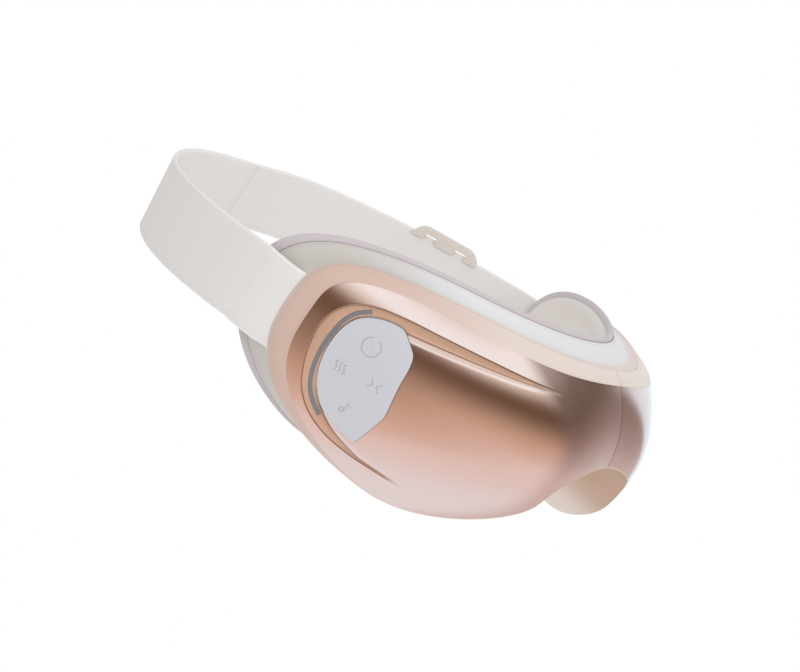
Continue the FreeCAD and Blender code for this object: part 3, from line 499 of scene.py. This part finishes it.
# Lines of points beside the crease, each with the least width of terrace at which it is drawn
offsets = [(0.0, v + 0 * crease_wide) for v in (1.8, 1.2, 0.8, 0.5, 0.3, 0.15, 0.0, -0.15, -0.3)]
offsets += [(1.6, -0.3 - (crease_wide - 0.45) * f) for f in (0.3, 0.65)]
offsets += [(0.9, 0.15 - crease_wide), (1.2, 0.3 - crease_wide)]
offsets += [(0.0, -crease_wide - v) for v in (0.0, 0.15, 0.3, 0.5, 0.8, 1.2, 1.8, 2.4, 3.0)]
lines = [(crease_flat + crease_out[:, [0, 2]] * d[:, None])[crease_wide > least] for least, d in offsets]
step = 1.3
grid = np.stack(np.meshgrid(np.arange(step, 102, step), np.arange(-44, 38, step)), -1).reshape(-1, 2)
k = nearest_crease(*grid.T)
gap, wide = crease(*grid.T, k)[:2]
outer_room, inner_room, end_room, border_room = 2.2, 3.4, 9, 0.6
away = np.linalg.norm(grid - crease_flat[k], axis=1)
far = (gap > outer_room) | (gap < -wide - inner_room) | (away > end_room)
clear = clearance(grid, border) > border_room
flat, faces = fill([border], lines, grid[inside([border], grid) & clear & far])
for side, name in halves:
    x, z = side * flat[:, 0], flat[:, 1]
    k = nearest_crease(x, z)
    face, back = shell_at(x, z, k), shell_at(x, z, k, shell_wall)
    shell = build("front_shell_" + name + "_cover", *thicken(face, faces, back), rose_gold)
    if side < 0:
        cut(shell, *prism(grown(pad_line, pad_gap)))
        cut(shell, *prism(ribbon(light_line, guide_slot)))
    source = shade(shell, face, shell_at, x, z, k)
    gap, wide, opened = crease(x, z, k)[:3]
    # Painted shade along the outer crease, and weaker along the inner one
    crease_shaded = np.exp(-(gap / crease_shade_wide) ** 2) + inner_crease_shade * np.exp(-((gap + wide) / crease_shade_wide) ** 2)
    terrace = (gap < 0.05) & (gap > -wide - 0.05)
    for key, value in (("crease_shade", np.minimum(crease_shaded, 1)), ("satin", terrace)):
        set_points(shell.data, key, (value * np.clip(opened * 3, 0, 1))[source])
    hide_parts("front_shell_" + name)
    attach(shell, name + "_half")


# Side bands: satin peach bands behind the shells, with a thin lip round the shell's edge. Each runs
# up into the nose notch and closes it to the face side as a saddle. Moulded, snapped to the shells.
band_form = dict(half=104.0, up=36.5, down=44.6, shape=wing_shape, apex=9.8, grow=1.5)


def rim_y(x):
    return bow(x, mid=-3.6, tip=69.0, half=rim_half, power=2.07)


def band_y(x):
    return bow(x, mid=-18.0, tip=51.0, half=band_form["half"], power=2.14)


def shell_ring(inset, depth=0.0):
    x, z, _ = outline(inset, **shell_form).T
    return np.stack([x, front_y(x, z) + depth, z], 1)


def band_ring(inset, shift=0.0):
    x, z, notch_share = outline(inset, **band_form).T
    saddle = ease((notch_share - 0.15) / 0.4)
    y = band_y(x) + saddle * (rim_y(x) - 3.0 - band_y(x))
    return np.stack([x, y + shift, z], 1)


# Rings between two rings, swelled outwards in front view by the given height
def between(first, last, count, swell):
    t = np.linspace(0, 1, count + 2)[1:-1]
    rings = [first + (last - first) * k for k in t]
    out = np.gradient(0.5 * (first + last), axis=0)[:, [0, 2]]
    out /= np.linalg.norm(out, axis=1)[:, None]
    for ring, k in zip(rings, t):
        high = np.asarray(swell) * math.sin(math.pi * k)
        ring[:, 0] -= out[:, 1] * high
        ring[:, 2] += out[:, 0] * high
    return rings


# A half ring whose section is the closed loop of the given rings, capped at the seam
def half_tube(rings, side):
    n = len(rings[0])
    last = (len(rings) - 1) * n
    points = np.concatenate(rings)
    points[:, 0] = side * np.maximum(points[:, 0], seam_gap)
    faces = grid_faces(len(rings), n) + [(last + i, last + i + 1, i + 1, i) for i in range(n - 1)]
    caps = [tuple(j * n + k for j in range(len(rings))) for k in (0, n - 1)]
    return points, faces + caps


brow_peach, wing_peach, nose_shaded_peach = (233, 216, 206), (214, 184, 170), (203, 170, 147)
peach_satin = Finish("peach_satin", (231, 213, 203), Metallic=0.15)
reach = abs(peach_satin.axis("X"))
low = 1 - peach_satin.fade(peach_satin.axis("Z"), 0.040, 0.056)
# The band is painted browner low in the nose notch as painted shade
nose = (1 - peach_satin.fade(reach, 0.03, 0.046)) * low
tone = peach_satin.tints(peach_satin.fade(reach, 0.05, 0.1), brow_peach, wing_peach)
peach_satin.set(Base_Color=peach_satin.tints(nose, tone, nose_shaded_peach))
peach_satin.set(Roughness=peach_satin.grain(900.0, 0.05, 0.36))
rings = [shell_ring(0.6), shell_ring(0.28), shell_ring(0.1, 0.05), shell_ring(0.0, 0.22)]
rings += between(rings[-1], band_ring(0.0), 6, 0.3) + [band_ring(0.0), band_ring(2.2), shell_ring(0.6, 3.3)]
for side, name in halves:
    band = build("side_band_" + name + "_cover", *half_tube(rings, side), peach_satin)
    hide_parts("side_band_" + name)
    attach(band, name + "_half")


# Rear housing: the white hollowed wall from the bands to the face rim, moulded in soft plastic. It
# crosses the fold as one piece. The charging port opens in its lower wall.
rim_form = dict(half=rim_half, up=39.5, down=46.6, shape=(4.2, 2.3, 4.6, 2.2), apex=10.5, grow=2.0)


def rim_ring(inset, depth):
    x, z, _ = outline(inset, **rim_form).T
    return np.stack([x, rim_y(x) + depth, z], 1)


def both(ring):
    return np.r_[ring * [-1, 1, 1], ring[-2:0:-1]]


def full_tube(rings):
    rings = [both(r) for r in rings]
    n = len(rings[0])
    return np.concatenate(rings + rings[:1]), grid_faces(len(rings) + 1, n, closed=True)


def block(lo, hi):
    base = ((lo[0], lo[1]), (hi[0], lo[1]), (hi[0], hi[1]), (lo[0], hi[1]))
    corner = np.array([(x, y, z) for z in (lo[2], hi[2]) for x, y in base])
    return corner, [(3, 2, 1, 0), (4, 5, 6, 7), (0, 1, 5, 4), (1, 2, 6, 5), (2, 3, 7, 6), (3, 0, 4, 7)]


def vertices_of(mesh):
    co = np.zeros(len(mesh.vertices) * 3)
    mesh.vertices.foreach_get("co", co)
    return co.reshape(-1, 3)


brow_white, wing_shaded_white, front_blush = (229, 228, 230), (207, 201, 194), (230, 214, 205)
wing_blush, rim_shadow = (214, 187, 174), (139, 125, 124)
white_housing = Finish("white_housing", (228, 226, 228))
fade = white_housing.fade
below, forward = white_housing.attribute("below_rim"), white_housing.attribute("forward")
reach = abs(white_housing.axis("X"))
# Towards the wing tips the white turns beige-grey as painted shade
tone = white_housing.tints(fade(reach, 0.06, 0.098), brow_white, wing_shaded_white)
blush = fade(forward, 0.6, 0.78) * (1 - fade(reach, 0.06, 0.09)) * fade(white_housing.axis("Z"), 0.055, 0.066)
tone = white_housing.tints(blush, tone, front_blush)
wing = fade(forward, 0.8, 1.0) * fade(reach, 0.055, 0.085)
tone = white_housing.tints(wing, tone, wing_blush)
# Painted shadow just under the piping, with a fainter dark line of the same colour about a millimetre lower
mark = (1 - fade(below, 0.2, 0.5)) * 0.75 + fade(below, 1.0, 1.15) * (1 - fade(below, 1.2, 1.4)) * 0.3
white_housing.set(Base_Color=white_housing.tints(mark, tone, rim_shadow))
white_housing.set(Roughness=white_housing.grain(800.0, 0.08, 0.46))
front, back = band_ring(0.0, 0.1), rim_ring(0.4, 0.0)
hollow = -(0.3 + 1.3 * ease((back[:, 2] - 2.0) / 22.0))
rings = [front] + between(front, back, 9, hollow) + [back, rim_ring(2.6, 0.0), band_ring(2.2, 0.1)]
housing = build("rear_housing_skirt", *full_tube(rings), white_housing)
port_gap, port_reach = 0.15, 6.0
lo, hi = (np.array(v) * 1000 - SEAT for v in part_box("charging_port"))
cut(housing, *block(lo - [port_gap, port_gap, port_reach], hi + [port_gap, port_gap, port_gap]))
housing.data.shade_smooth()
housing.data.set_sharp_from_angle(angle=math.radians(35))
x, y, _ = (vertices_of(housing.data) * 1000.0 - SEAT).T
set_points(housing.data, "below_rim", rim_y(x) - y)
set_points(housing.data, "forward", (rim_y(x) - y) / (rim_y(x) - band_y(x)))
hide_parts("rear_housing_right", "rear_housing_left")
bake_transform(housing)


# Rim piping: a lilac-grey bead that covers the joint between the housing and the lining all round.
# Extruded soft plastic, sewn in with the lining.
bead, bead_inset, bead_depth = 1.5, 0.8, 1.65
lilac_rim = Finish("lilac_rim", (206, 196, 199))
lilac_rim.set(Roughness=lilac_rim.grain(600.0, 0.1, 0.5))
turn = np.linspace(0, 2 * math.pi, 17)[:-1]
rings = [rim_ring(bead_inset - bead * math.cos(a), bead_depth + bead * math.sin(a)) for a in turn]
piping = build("rim_piping", *full_tube(rings), lilac_rim)
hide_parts("face_rim_right", "face_rim_left")
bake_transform(piping)


# Face lining: a beige knitted cover over foam, with a rounded lip behind the piping, a crown over
# the cheeks and brow and a sunk oval with a stitched channel over each eye.
eye_x, eye_z, eye_wide, eye_high = 40.0, 7.0, 25.0, 16.0


def lining_y(x, z):
    crown, eye_deep, channel_deep, channel_wide = 2.4, 3.2, 1.4, 2.6
    r = np.hypot((np.abs(x) - eye_x) / eye_wide, (z - eye_z) / eye_high)
    sink = eye_deep / (1 + np.exp(8.0 * (r - 0.75)))
    channel = channel_deep * np.exp(-((r - 1.0) * eye_high / channel_wide) ** 2)
    return rim_y(x) + crown - sink - channel


beige_lining = Finish("beige_lining", (232, 225, 220), Roughness=0.9, Sheen_Weight=0.25)
knit = beige_lining.node("ShaderNodeTexVoronoi", None, {"Vector": beige_lining.place(), "Scale": 1500.0})
beige_lining.bump(knit, 0.35, 0.0002)
lining_wall, rows = 1.2, 71
lip = [(1.6, 0.3), (1.65, 1.7), (1.95, 2.9), (2.6, 3.9), (3.5, 4.5), (4.5, 4.55), (5.6, 4.05), (6.6, 3.2),
       (7.4, 2.2), (8.0, 1.55), (8.6, 1.7), (9.3, 2.1)]
rings = [rim_ring(inset, depth) for inset, depth in lip]
inner = rim_ring(10.2, 0.0)
inner[:, 1] = lining_y(inner[:, 0], inner[:, 2])
points = np.concatenate([both(r) for r in rings + [inner]])
faces = grid_faces(len(rings) + 1, len(both(inner)), closed=True)
half = len(inner) // 2
top, low = inner[:half + 1, [0, 2]], inner[::-1][:half + 1][:, [0, 2]]
top, low = np.r_[top[::-1] * [-1, 1], top[1:]], np.r_[low[::-1] * [-1, 1], low[1:]]
flat = (top + np.linspace(0, 1, rows)[:, None, None] * (low - top)).reshape(-1, 2)
middle = np.stack([flat[:, 0], lining_y(flat[:, 0], flat[:, 1]), flat[:, 1]], 1)
faces = faces + [tuple(v + len(points) for v in f) for f in grid_faces(rows, 2 * half + 1)]
points = np.r_[points, middle]
merged = np.unique(np.round(points, 4), axis=0, return_index=True, return_inverse=True)
points, faces = points[merged[1]], [tuple(merged[2].reshape(-1)[list(f)]) for f in faces]
faces = [f for f in (tuple(dict.fromkeys(f)) for f in faces) if len(f) > 2]
lining = build("face_lining", *thicken(points, faces, points - [0, lining_wall, 0]), beige_lining)
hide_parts("face_cushion_right", "face_cushion_left", "bridge_lining")
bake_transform(lining)


# Strokes swept along their lines
def sweep_tree(finish):
    tree = bpy.data.node_groups.new("raised_strokes", "GeometryNodeTree")
    tree.interface.new_socket("Geometry", in_out="INPUT", socket_type="NodeSocketGeometry")
    tree.interface.new_socket("Radius", in_out="INPUT", socket_type="NodeSocketFloat")
    tree.interface.new_socket("Geometry", in_out="OUTPUT", socket_type="NodeSocketGeometry")
    kinds = ("NodeGroupInput", "GeometryNodeMeshToCurve", "GeometryNodeCurvePrimitiveCircle",
             "GeometryNodeCurveToMesh", "GeometryNodeRealizeInstances", "GeometryNodeSetMaterial",
             "NodeGroupOutput")
    start, line, circle, tube, real, paint, end = [tree.nodes.new(kind) for kind in kinds]
    circle.inputs["Resolution"].default_value = 10
    tube.inputs["Fill Caps"].default_value = True
    paint.inputs["Material"].default_value = finish.material
    link = tree.links.new
    link(start.outputs["Geometry"], line.inputs[0])
    link(line.outputs[0], tube.inputs["Curve"])
    link(start.outputs["Radius"], circle.inputs["Radius"])
    link(circle.outputs["Curve"], tube.inputs["Profile Curve"])
    link(tube.outputs[0], real.inputs[0])
    link(real.outputs[0], paint.inputs[0])
    link(paint.outputs[0], end.inputs[0])
    return tree


def grow_nodes(name, lines, tree, values):
    mesh = bpy.data.meshes.new(name)
    edges, start = [], 0
    for line in lines:
        edges += [(start + i, start + i + 1) for i in range(len(line) - 1)]
        start += len(line)
    mesh.from_pydata(to_row(np.concatenate(lines)).tolist(), edges, [])
    piece = bpy.data.objects.new(name, mesh)
    bpy.context.scene.collection.objects.link(piece)
    change = piece.modifiers.new("grow", "NODES")
    change.node_group = tree
    for item in tree.interface.items_tree:
        if item.in_out == "INPUT" and item.name in values:
            change[item.identifier] = values[item.name]
    made = bpy.data.meshes.new_from_object(piece.evaluated_get(bpy.context.evaluated_depsgraph_get()))
    piece.modifiers.clear()
    piece.data = made
    piece.data.shade_smooth()
    return piece


thread = sweep_tree(beige_lining)
thread_rise = np.array([-0.25, 0.12, 0.2, 0.12, -0.25])
stitch_count, stitch_arc = 60, 0.062
lining_edge = both(inner)[:, [0, 2]]
for side, name in halves:
    stitches = []
    for a in np.linspace(0, 2 * math.pi, stitch_count + 1)[:-1]:
        arc = a + np.linspace(0, stitch_arc, len(thread_rise))
        x, z = eye_x + eye_wide * np.cos(arc), eye_z + eye_high * np.sin(arc)
        if inside([lining_edge], np.stack([x, z], 1)).all():
            stitches.append(np.stack([side * x, lining_y(x, z) + thread_rise, z], 1))
    seam = grow_nodes("lining_stitches_" + name, stitches, thread, {"Radius": 0.00028})
    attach(seam, name + "_half")


# Head strap: woven elastic with fine ribs along it, 30 mm wide, looped round a bar inside each
# wing. Each run bends at a crease beside the rim, and the two meet at the back of the head.
strap_half, strap_front, strap_back, strap_power = 107.5, 71.5, 168.2, 2.26
pivot_y, pivot_span = 68.0, 2.5
drop, drop_run = 13.8, 100.2
flat_start, flat_end = (106.6, 88.0), (86.1, 135.6)
lean_most, lean_reach = 0.136, 38.0
thick, flat_edge = 0.8, 14.4
mitre, mitre_shading = 1.7, 5.0


def strap_round(x):
    share = (1 - (x / strap_half) ** strap_power) ** (1 / strap_power)
    return strap_front + (strap_back - strap_front) * share


rib_low, rib_high, edge_highlight_white = (231, 227, 224), (236, 232, 229), (241, 239, 237)
rib_rate, pick_rate = 6.3, 9.0
strap_webbing = Finish("strap_webbing", (233, 229, 226), Roughness=0.9)
across, along = strap_webbing.attribute("across"), strap_webbing.attribute("along")
ribs, picks = (across * rib_rate).sine(), (along * pick_rate).sine()
weave = strap_webbing.tints(ribs * 0.5 + 0.5, rib_low, rib_high)
# A painted highlight along both rounded edges of the strap
edge_highlight = strap_webbing.fade(abs(across), 13.9, 14.3)
strap_webbing.set(Base_Color=strap_webbing.tints(edge_highlight, weave, edge_highlight_white))
strap_webbing.bump(ribs + picks * 0.3, 0.12, 0.00012)
pivot, rear = (strap_half, pivot_y), (0.0, strap_back)
way = np.subtract(flat_end, flat_start)
way /= np.linalg.norm(way)
out = np.array([math.sin(math.radians(8)), math.cos(math.radians(8))])
root = curve([(93.6, 40.35), (97.6, 43.9), (101.6, 52.0), (104.2, 55.0), (106.3, 60.5), (107.2, 64.5), pivot],
             60, leave=(0.7, 0.7), arrive=out)
turn = 0.5 * math.pi * np.arange(1, 12) / 12
oval = np.stack([strap_half * np.cos(turn) ** (2 / strap_power),
                 strap_front + (strap_back - strap_front) * np.sin(turn) ** (2 / strap_power)], 1)
oval = curve(np.r_[[pivot], oval, [rear]], 150, leave=out, arrive=(-1, 0))
bend = curve([pivot, flat_start], 24, leave=out, arrive=way)
straight = np.linspace(flat_start, flat_end, 24)
head = [(flat_end[0] * k, strap_round(flat_end[0] * k)) for k in (0.8, 0.6, 0.4, 0.2)]
head = curve([flat_end] + head + [rear], 90, leave=way, arrive=(-1, 0))
round_edge = [(-0.5, 14.9), (0, 15), (0.5, 14.9)]
section = np.array([(-thick, w) for w in np.linspace(-flat_edge, flat_edge, 9)] + round_edge
                   + [(thick, w) for w in np.linspace(flat_edge, -flat_edge, 9)]
                   + [(-o, -w) for o, w in round_edge])
count = len(section)
for side, name, plan, lean in ((-1, "right", np.r_[root, oval[1:]], (72.0, 112.0)),
                               (1, "left", np.r_[root, bend[1:], straight[1:], head[1:]], (138.0, 164.0))):
    run = np.r_[0, np.cumsum(np.linalg.norm(np.diff(plan, axis=0), axis=1))]
    ahead = np.gradient(plan, axis=0)
    ahead /= np.linalg.norm(ahead, axis=1)[:, None]
    ahead[-1] = (-1, 0)
    points, marks = [], []
    for (px, py), (ax, ay), s in zip(plan, ahead, run):
        end = np.clip((s - run[-1] + mitre) / mitre, 0, 1)
        tilt = lean_most * ease((py - lean[0]) / (lean[1] - lean[0])) * ease(px / lean_reach)
        sunk = drop * max(py - pivot_y, 0) / drop_run
        for o, w in section:
            marks.append((w, s, o == thick and s > run[-1] - mitre_shading))
            o = min(o, thick - 2 * thick * end)
            points.append((side * (px - ay * o), py + ax * o + tilt * w, w - sunk))
    faces = grid_faces(len(plan), count, closed=True)
    faces += [tuple(range(count)), tuple((len(plan) - 1) * count + i for i in range(count))]
    strap = build("strap_" + name + "_webbing", points, faces, strap_webbing, sharp=60.0)
    mesh = strap.data
    points = to_row(points)
    nearest = [int(((points - p) ** 2).sum(1).argmin()) for p in vertices_of(mesh)]
    marks = np.array(marks)[nearest]
    set_points(mesh, "across", marks[:, 0])
    set_points(mesh, "along", marks[:, 1])
    # The mitre's inner faces are shaded as flat, so that the two runs read as one strap
    given = np.zeros((len(mesh.loops), 3))
    for face in mesh.polygons:
        if marks[list(face.vertices), 2].all():
            given[list(face.loop_indices)] = (0, -1, 0)
    mesh.normals_split_custom_set(given.tolist())
    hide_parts("strap_" + name, "strap_end_" + name)
    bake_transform(strap)


# Strap buckle: a beige moulded slide with three bars outside the webbing and two lipped rails that
# hold it on the left run. The rails are notched between the bars, so the webbing's edge shows there.
buckle_run, edge_round, sharp_angle = 32.9, 0.5, math.radians(40)
buckle_plastic = Finish("buckle_plastic", (221, 211, 202))
buckle_plastic.set(Roughness=buckle_plastic.grain(500.0, 0.1, 0.35))
along = np.array([way[0], way[1], -drop / drop_run * way[1]])
along /= np.linalg.norm(along)
inward = np.array([-way[1], way[0], 0.0])
buckle_axes = np.array([along, inward, np.cross(along, inward)])
buckle_spot = np.r_[flat_start + buckle_run * way, 0.0]
buckle_spot[2] = -drop * (buckle_spot[1] - pivot_y) / drop_run
buckle = frame["nodes"]["strap_buckle"].copy()
buckle.data = buckle.data.copy()
buckle.parent = None
for key in list(buckle.keys()):
    del buckle[key]
buckle.name = "strap_slide"
bpy.context.scene.collection.objects.link(buckle)
notches = (block((2.5, -4, 12.6), (12.5, -0.5, 16.0)), block((5.0, -1, 12.6), (10.6, 4, 16.0)))
for side in (-1, 1):
    for rail in (-1, 1):
        for points, faces in notches:
            cut(buckle, buckle_spot + points * [side, 1, rail] @ buckle_axes, faces)
work = bmesh.new()
work.from_mesh(buckle.data)
bmesh.ops.remove_doubles(work, verts=work.verts, dist=2e-6)
bmesh.ops.dissolve_limit(work, angle_limit=math.radians(2), verts=work.verts, edges=work.edges)
sharp = [e for e in work.edges if len(e.link_faces) == 2 and e.calc_face_angle() > sharp_angle]
bmesh.ops.bevel(work, geom=sharp, offset=edge_round / 1000, segments=3, profile=0.5, affect="EDGES",
                clamp_overlap=True)
bmesh.ops.recalc_face_normals(work, faces=work.faces)
work.to_mesh(buckle.data)
work.free()
buckle.data.shade_smooth()
buckle.data.set_sharp_from_angle(angle=sharp_angle)
buckle.data.materials.clear()
buckle.data.materials.append(buckle_plastic.material)
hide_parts("strap_buckle")
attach(buckle, "buckle")


# Keypad: a pale silicone panel set into the right-hand shell, with four keys whose caps are flush
# with it. Their marks are raised in the same silicone so that a finger finds them, and painted a little
# darker as painted shade of their relief.
pad_rise, pad_wall = 0.4, 1.6
key_hole, key_cap = 5.6, 5.595
mark_rise = 0.34
keys = {"power": (-3.5, 10.9), "heat": (-8.2, -1.1), "massage": (5.0, 0.4), "mode": (0.8, -12.2)}


def plain_at(x, z, k):
    return np.stack([x, front_y(x, z), z], 1)


def patch(loops, step=1.0):
    span = np.concatenate(loops)
    across, up = (np.arange(low, high, step) for low, high in zip(span.min(0), span.max(0)))
    grid = np.stack(np.meshgrid(across, up), -1).reshape(-1, 2)
    keep = inside(loops, grid) & (clearance(grid, span) > 0.4 * step)
    flat, faces = fill(loops, [], grid[keep])
    return on_pad(flat, pad_rise), faces, on_pad(flat, pad_rise - pad_wall)


def ring_at(u, v, r, count=72):
    a = np.linspace(0, 2 * math.pi, count + 1)[:-1]
    return np.stack([u + r * np.cos(a), v + r * np.sin(a)], 1)


keypad_silicone = Finish("keypad_silicone", (204, 206, 212))
keypad_silicone.set(Roughness=keypad_silicone.grain(900.0, 0.1, 0.46))
top, faces, low = patch([pad_line] + [ring_at(u, v, key_hole) for u, v in keys.values()])
panel = build("keypad_cover", *thicken(top, faces, low), keypad_silicone)
shade(panel, top, plain_at, top[:, 0], top[:, 2])
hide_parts("keypad_panel")
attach(panel, "right_half")
key_marks_painted_shade = Finish("key_marks_painted_shade", (180, 182, 189))
key_marks_painted_shade.set(Roughness=key_marks_painted_shade.grain(900.0, 0.1, 0.46))
strokes = sweep_tree(key_marks_painted_shade)
arc = np.linspace(math.radians(112), math.radians(428), 40)
wave = np.stack([0.55 * np.sin(np.linspace(0, 2 * math.pi, 20)), np.linspace(-1.9, 1.9, 20)], 1)
chevron = np.array([(2.2, 1.7), (0.7, 0.0), (2.2, -1.7)])
note_head = ring_at(-0.4, -1.2, 0.8, 16)
marks = {"power": [np.stack([3.4 * np.cos(arc), 3.4 * np.sin(arc)], 1), np.array([(0, 0), (0.05, 0.3)])],
         "heat": [wave + [u, 0] for u in (-1.6, 0, 1.6)],
         "massage": [chevron * [-1, 1], chevron],
         "mode": [np.array([(1.9, 0.9), (0.4, 2.0), (0.4, -1.2)]), np.r_[note_head, note_head[:1]]]}
for key, (u, v) in keys.items():
    top, faces, low = patch([ring_at(u, v, key_cap)])
    cap = build("key_" + key + "_top", *thicken(top, faces, low), keypad_silicone)
    shade(cap, top, plain_at, top[:, 0], top[:, 2])
    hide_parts("key_" + key)
    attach(cap, "key_" + key + "_cap")
    lines = [on_pad(line + [u, v], mark_rise) for line in marks[key]]
    mark = grow_nodes("key_" + key + "_mark", lines, strokes, {"Radius": 0.00022})
    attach(mark, "key_" + key + "_cap")


# Light guide: a narrow strip of smoky grey plastic that follows the keypad's outer edge. Moulded,
# pressed into its own slot in the shell's terrace, and a little proud of it.
guide_width, guide_rise, guide_depth = 1.4, 0.12, 1.8
light_guide = Finish("light_guide", (126, 128, 134))
light_guide.set(Roughness=light_guide.grain(300.0, 0.06, 0.32))
loop = ribbon(light_line, guide_width)
n = len(loop)
low = on_pad(loop, 0.0)
top = shell_at(low[:, 0], low[:, 2], nearest_crease(low[:, 0], low[:, 2])) + guide_rise * pad_n
faces = [(i, i + 1, n - 2 - i, n - 1 - i) for i in range(n // 2 - 1)]
guide = build("light_guide", *thicken(top, faces, low - guide_depth * pad_n), light_guide)
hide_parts("light_strip")
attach(guide, "right_half")


# Inner pieces: moulded plates and cradles, motors and their weights, pump, air bags, heater films,
# battery, boards, screws and the steel hinge. They are out of sight when the mask is worn, so they
# keep their plain solids. Each finish has its colour, metalness and roughness.
inner_looks = {"steel": ((188, 189, 192), 1.0, 0.3), "weight_metal": ((150, 146, 140), 1.0, 0.4),
               "board_green": ((38, 92, 62), 0.0, 0.45), "switch_black": ((38, 38, 40), 0.0, 0.5),
               "airbag_film": ((196, 198, 204), 0.0, 0.35), "heater_film": ((198, 128, 70), 0.0, 0.4),
               "battery_wrap": ((86, 112, 160), 0.0, 0.4), "inner_plastic": ((226, 224, 220), 0.0, 0.55)}
finishes = {}
for name, (colour, metal, rough) in inner_looks.items():
    finishes[name] = Finish(name, colour, Metallic=metal)
    finishes[name].set(Roughness=finishes[name].grain(400.0, 0.1, rough - 0.05))
slots = {part["node"]: part["material_slot"] for part in frame["record"]["subparts"]}
for name, node in frame["nodes"].items():
    finish = finishes.get(slots.get(name), finishes["inner_plastic"])
    node.data.materials.clear()
    node.data.materials.append(finish.material)


# Light: a white surround, a large soft lamp high on the wearer's right, and a curved card round the
# front that only reflections see. The card is pale with a dark stretch along a rising line, so the
# lacquer shows soft bands, warm on the wearer's right and cooler on the left.
world = bpy.data.worlds.new("studio")
bpy.context.scene.world = world
surround = Nodes(world)
seen = 0.0
for kind in ("Is Camera Ray", "Is Glossy Ray", "Is Transmission Ray"):
    ray = surround.node("ShaderNodeLightPath", out=kind)
    seen = ray.do("MAXIMUM", ray, seen)
level = surround.node("ShaderNodeMapRange", None, {"Value": seen, "To Min": 0.78, "To Max": 1.0})
background = surround.tree.nodes["Background"]
surround.join(background.inputs["Color"], (1, 1, 1, 1))
surround.join(background.inputs["Strength"], level)


def towards(azimuth, elevation):
    a, e = np.radians(azimuth), np.radians(elevation)
    return np.stack([np.sin(a) * np.cos(e), -np.cos(a) * np.cos(e), np.sin(e)], -1)


lamp = bpy.data.lights.new("soft_lamp", "AREA")
lamp.shape, lamp.size, lamp.size_y, lamp.energy = "RECTANGLE", 0.8, 0.34, 2.2
lamp_way = towards(-36.0, 33.0)
holder = bpy.data.objects.new("soft_lamp", lamp)
bpy.context.scene.collection.objects.link(holder)
holder.visible_glossy = False
holder.location = Vector(lamp_way)
holder.rotation_euler = Vector(-lamp_way).to_track_quat("-Z", "Y").to_euler()
card_columns, card_rows, card_reach = 101, 157, 1.2
az, el = np.meshgrid(np.linspace(-100, 100, card_columns), np.linspace(-86, 70, card_rows))
rise = el - np.interp(az, (-70, -46, -36, -19, 3, 25, 48, 75), (-6, 4, 9, 17, 26, 30, 33, 30))
warm_rise = (-64, -54, -44, -36, -31, -20, -5, 0, 5, 11, 17, 25, 33)
warm_tones = ((1, 1, 1, 0.98, 0.9, 0.74, 0.24, 0.16, 0.24, 0.95, 1.25, 1.2, 1),
              (1.15, 1.1, 1, 0.93, 0.75, 0.56, 0.17, 0.1, 0.17, 0.96, 1.5, 1.4, 1.1),
              (1.25, 1.18, 1, 0.91, 0.67, 0.44, 0.12, 0.06, 0.12, 0.9, 1.6, 1.5, 1.1))
cool_rise = (-44, -13, 0, 10, 21, 34)
cool_tones = ((0.8, 0.34, 0.19, 0.24, 0.62, 0.95), (0.75, 0.27, 0.155, 0.2, 0.62, 0.97),
              (0.76, 0.25, 0.13, 0.18, 0.62, 1))
right_end, left_end = np.array([1, 1.08, 1.12]), np.array([0.9, 1.02, 1.1])
warm = np.stack([np.interp(rise, warm_rise, v) for v in warm_tones], -1)
cool = np.stack([np.interp(rise, cool_rise, v) for v in cool_tones], -1)
tone = warm + (cool - warm) * ease((az - 2) / 24)[..., None]
tone = tone + (right_end - tone) * ease((-80 - az) / 14)[..., None]
tone = tone + (left_end - tone) * ease((az - 71) / 8)[..., None]
mesh = bpy.data.meshes.new("tone_card")
places = towards(az, el).reshape(-1, 3) * card_reach
mesh.from_pydata(places.tolist(), [], grid_faces(card_rows, card_columns))
tone = np.c_[tone.reshape(-1, 3), np.ones(tone.size // 3)]
colours = mesh.attributes.new("tone", "FLOAT_COLOR", "POINT")
colours.data.foreach_set("color", tone.reshape(-1).astype(np.float32))
card = bpy.data.objects.new("tone_card", mesh)
bpy.context.scene.collection.objects.link(card)
card_paint = bpy.data.materials.new("tone_card")
card_look = Nodes(card_paint)
tint = card_look.node("ShaderNodeAttribute", {"attribute_name": "tone"}, out="Color")
glow = card_look.node("ShaderNodeEmission", None, {"Color": tint})
card_look.join(card_look.tree.nodes["Material Output"].inputs["Surface"], glow)
card_look.tree.nodes.remove(card_look.tree.nodes["Principled BSDF"])
mesh.materials.append(card_paint)
for ray in ("camera", "diffuse", "transmission", "shadow", "volume_scatter"):
    setattr(card, "visible_" + ray, False)


# Camera: a long lens at the wearer's right, above the brow, rolled as in the picture
camera = bpy.data.cameras.new("camera")
camera.lens = 70.72
eye = bpy.data.objects.new("camera", camera)
bpy.context.scene.collection.objects.link(eye)
back = Vector(towards(-62.49746, 15.43491))
roll = math.radians(35.85937)
aim, distance = Vector(to_row((-38.2653, 43.5184, 1.8328))), 0.5859515
right = (-back).cross(Vector((0, 0, 1))).normalized()
up = right.cross(-back)
right, up = math.cos(roll) * right + math.sin(roll) * up, math.cos(roll) * up - math.sin(roll) * right
place = Matrix((right, up, back)).transposed().to_4x4()
place.translation = aim + back * distance
eye.matrix_world = place
bpy.context.scene.camera = eye
bpy.context.scene.view_settings.view_transform = "Standard"
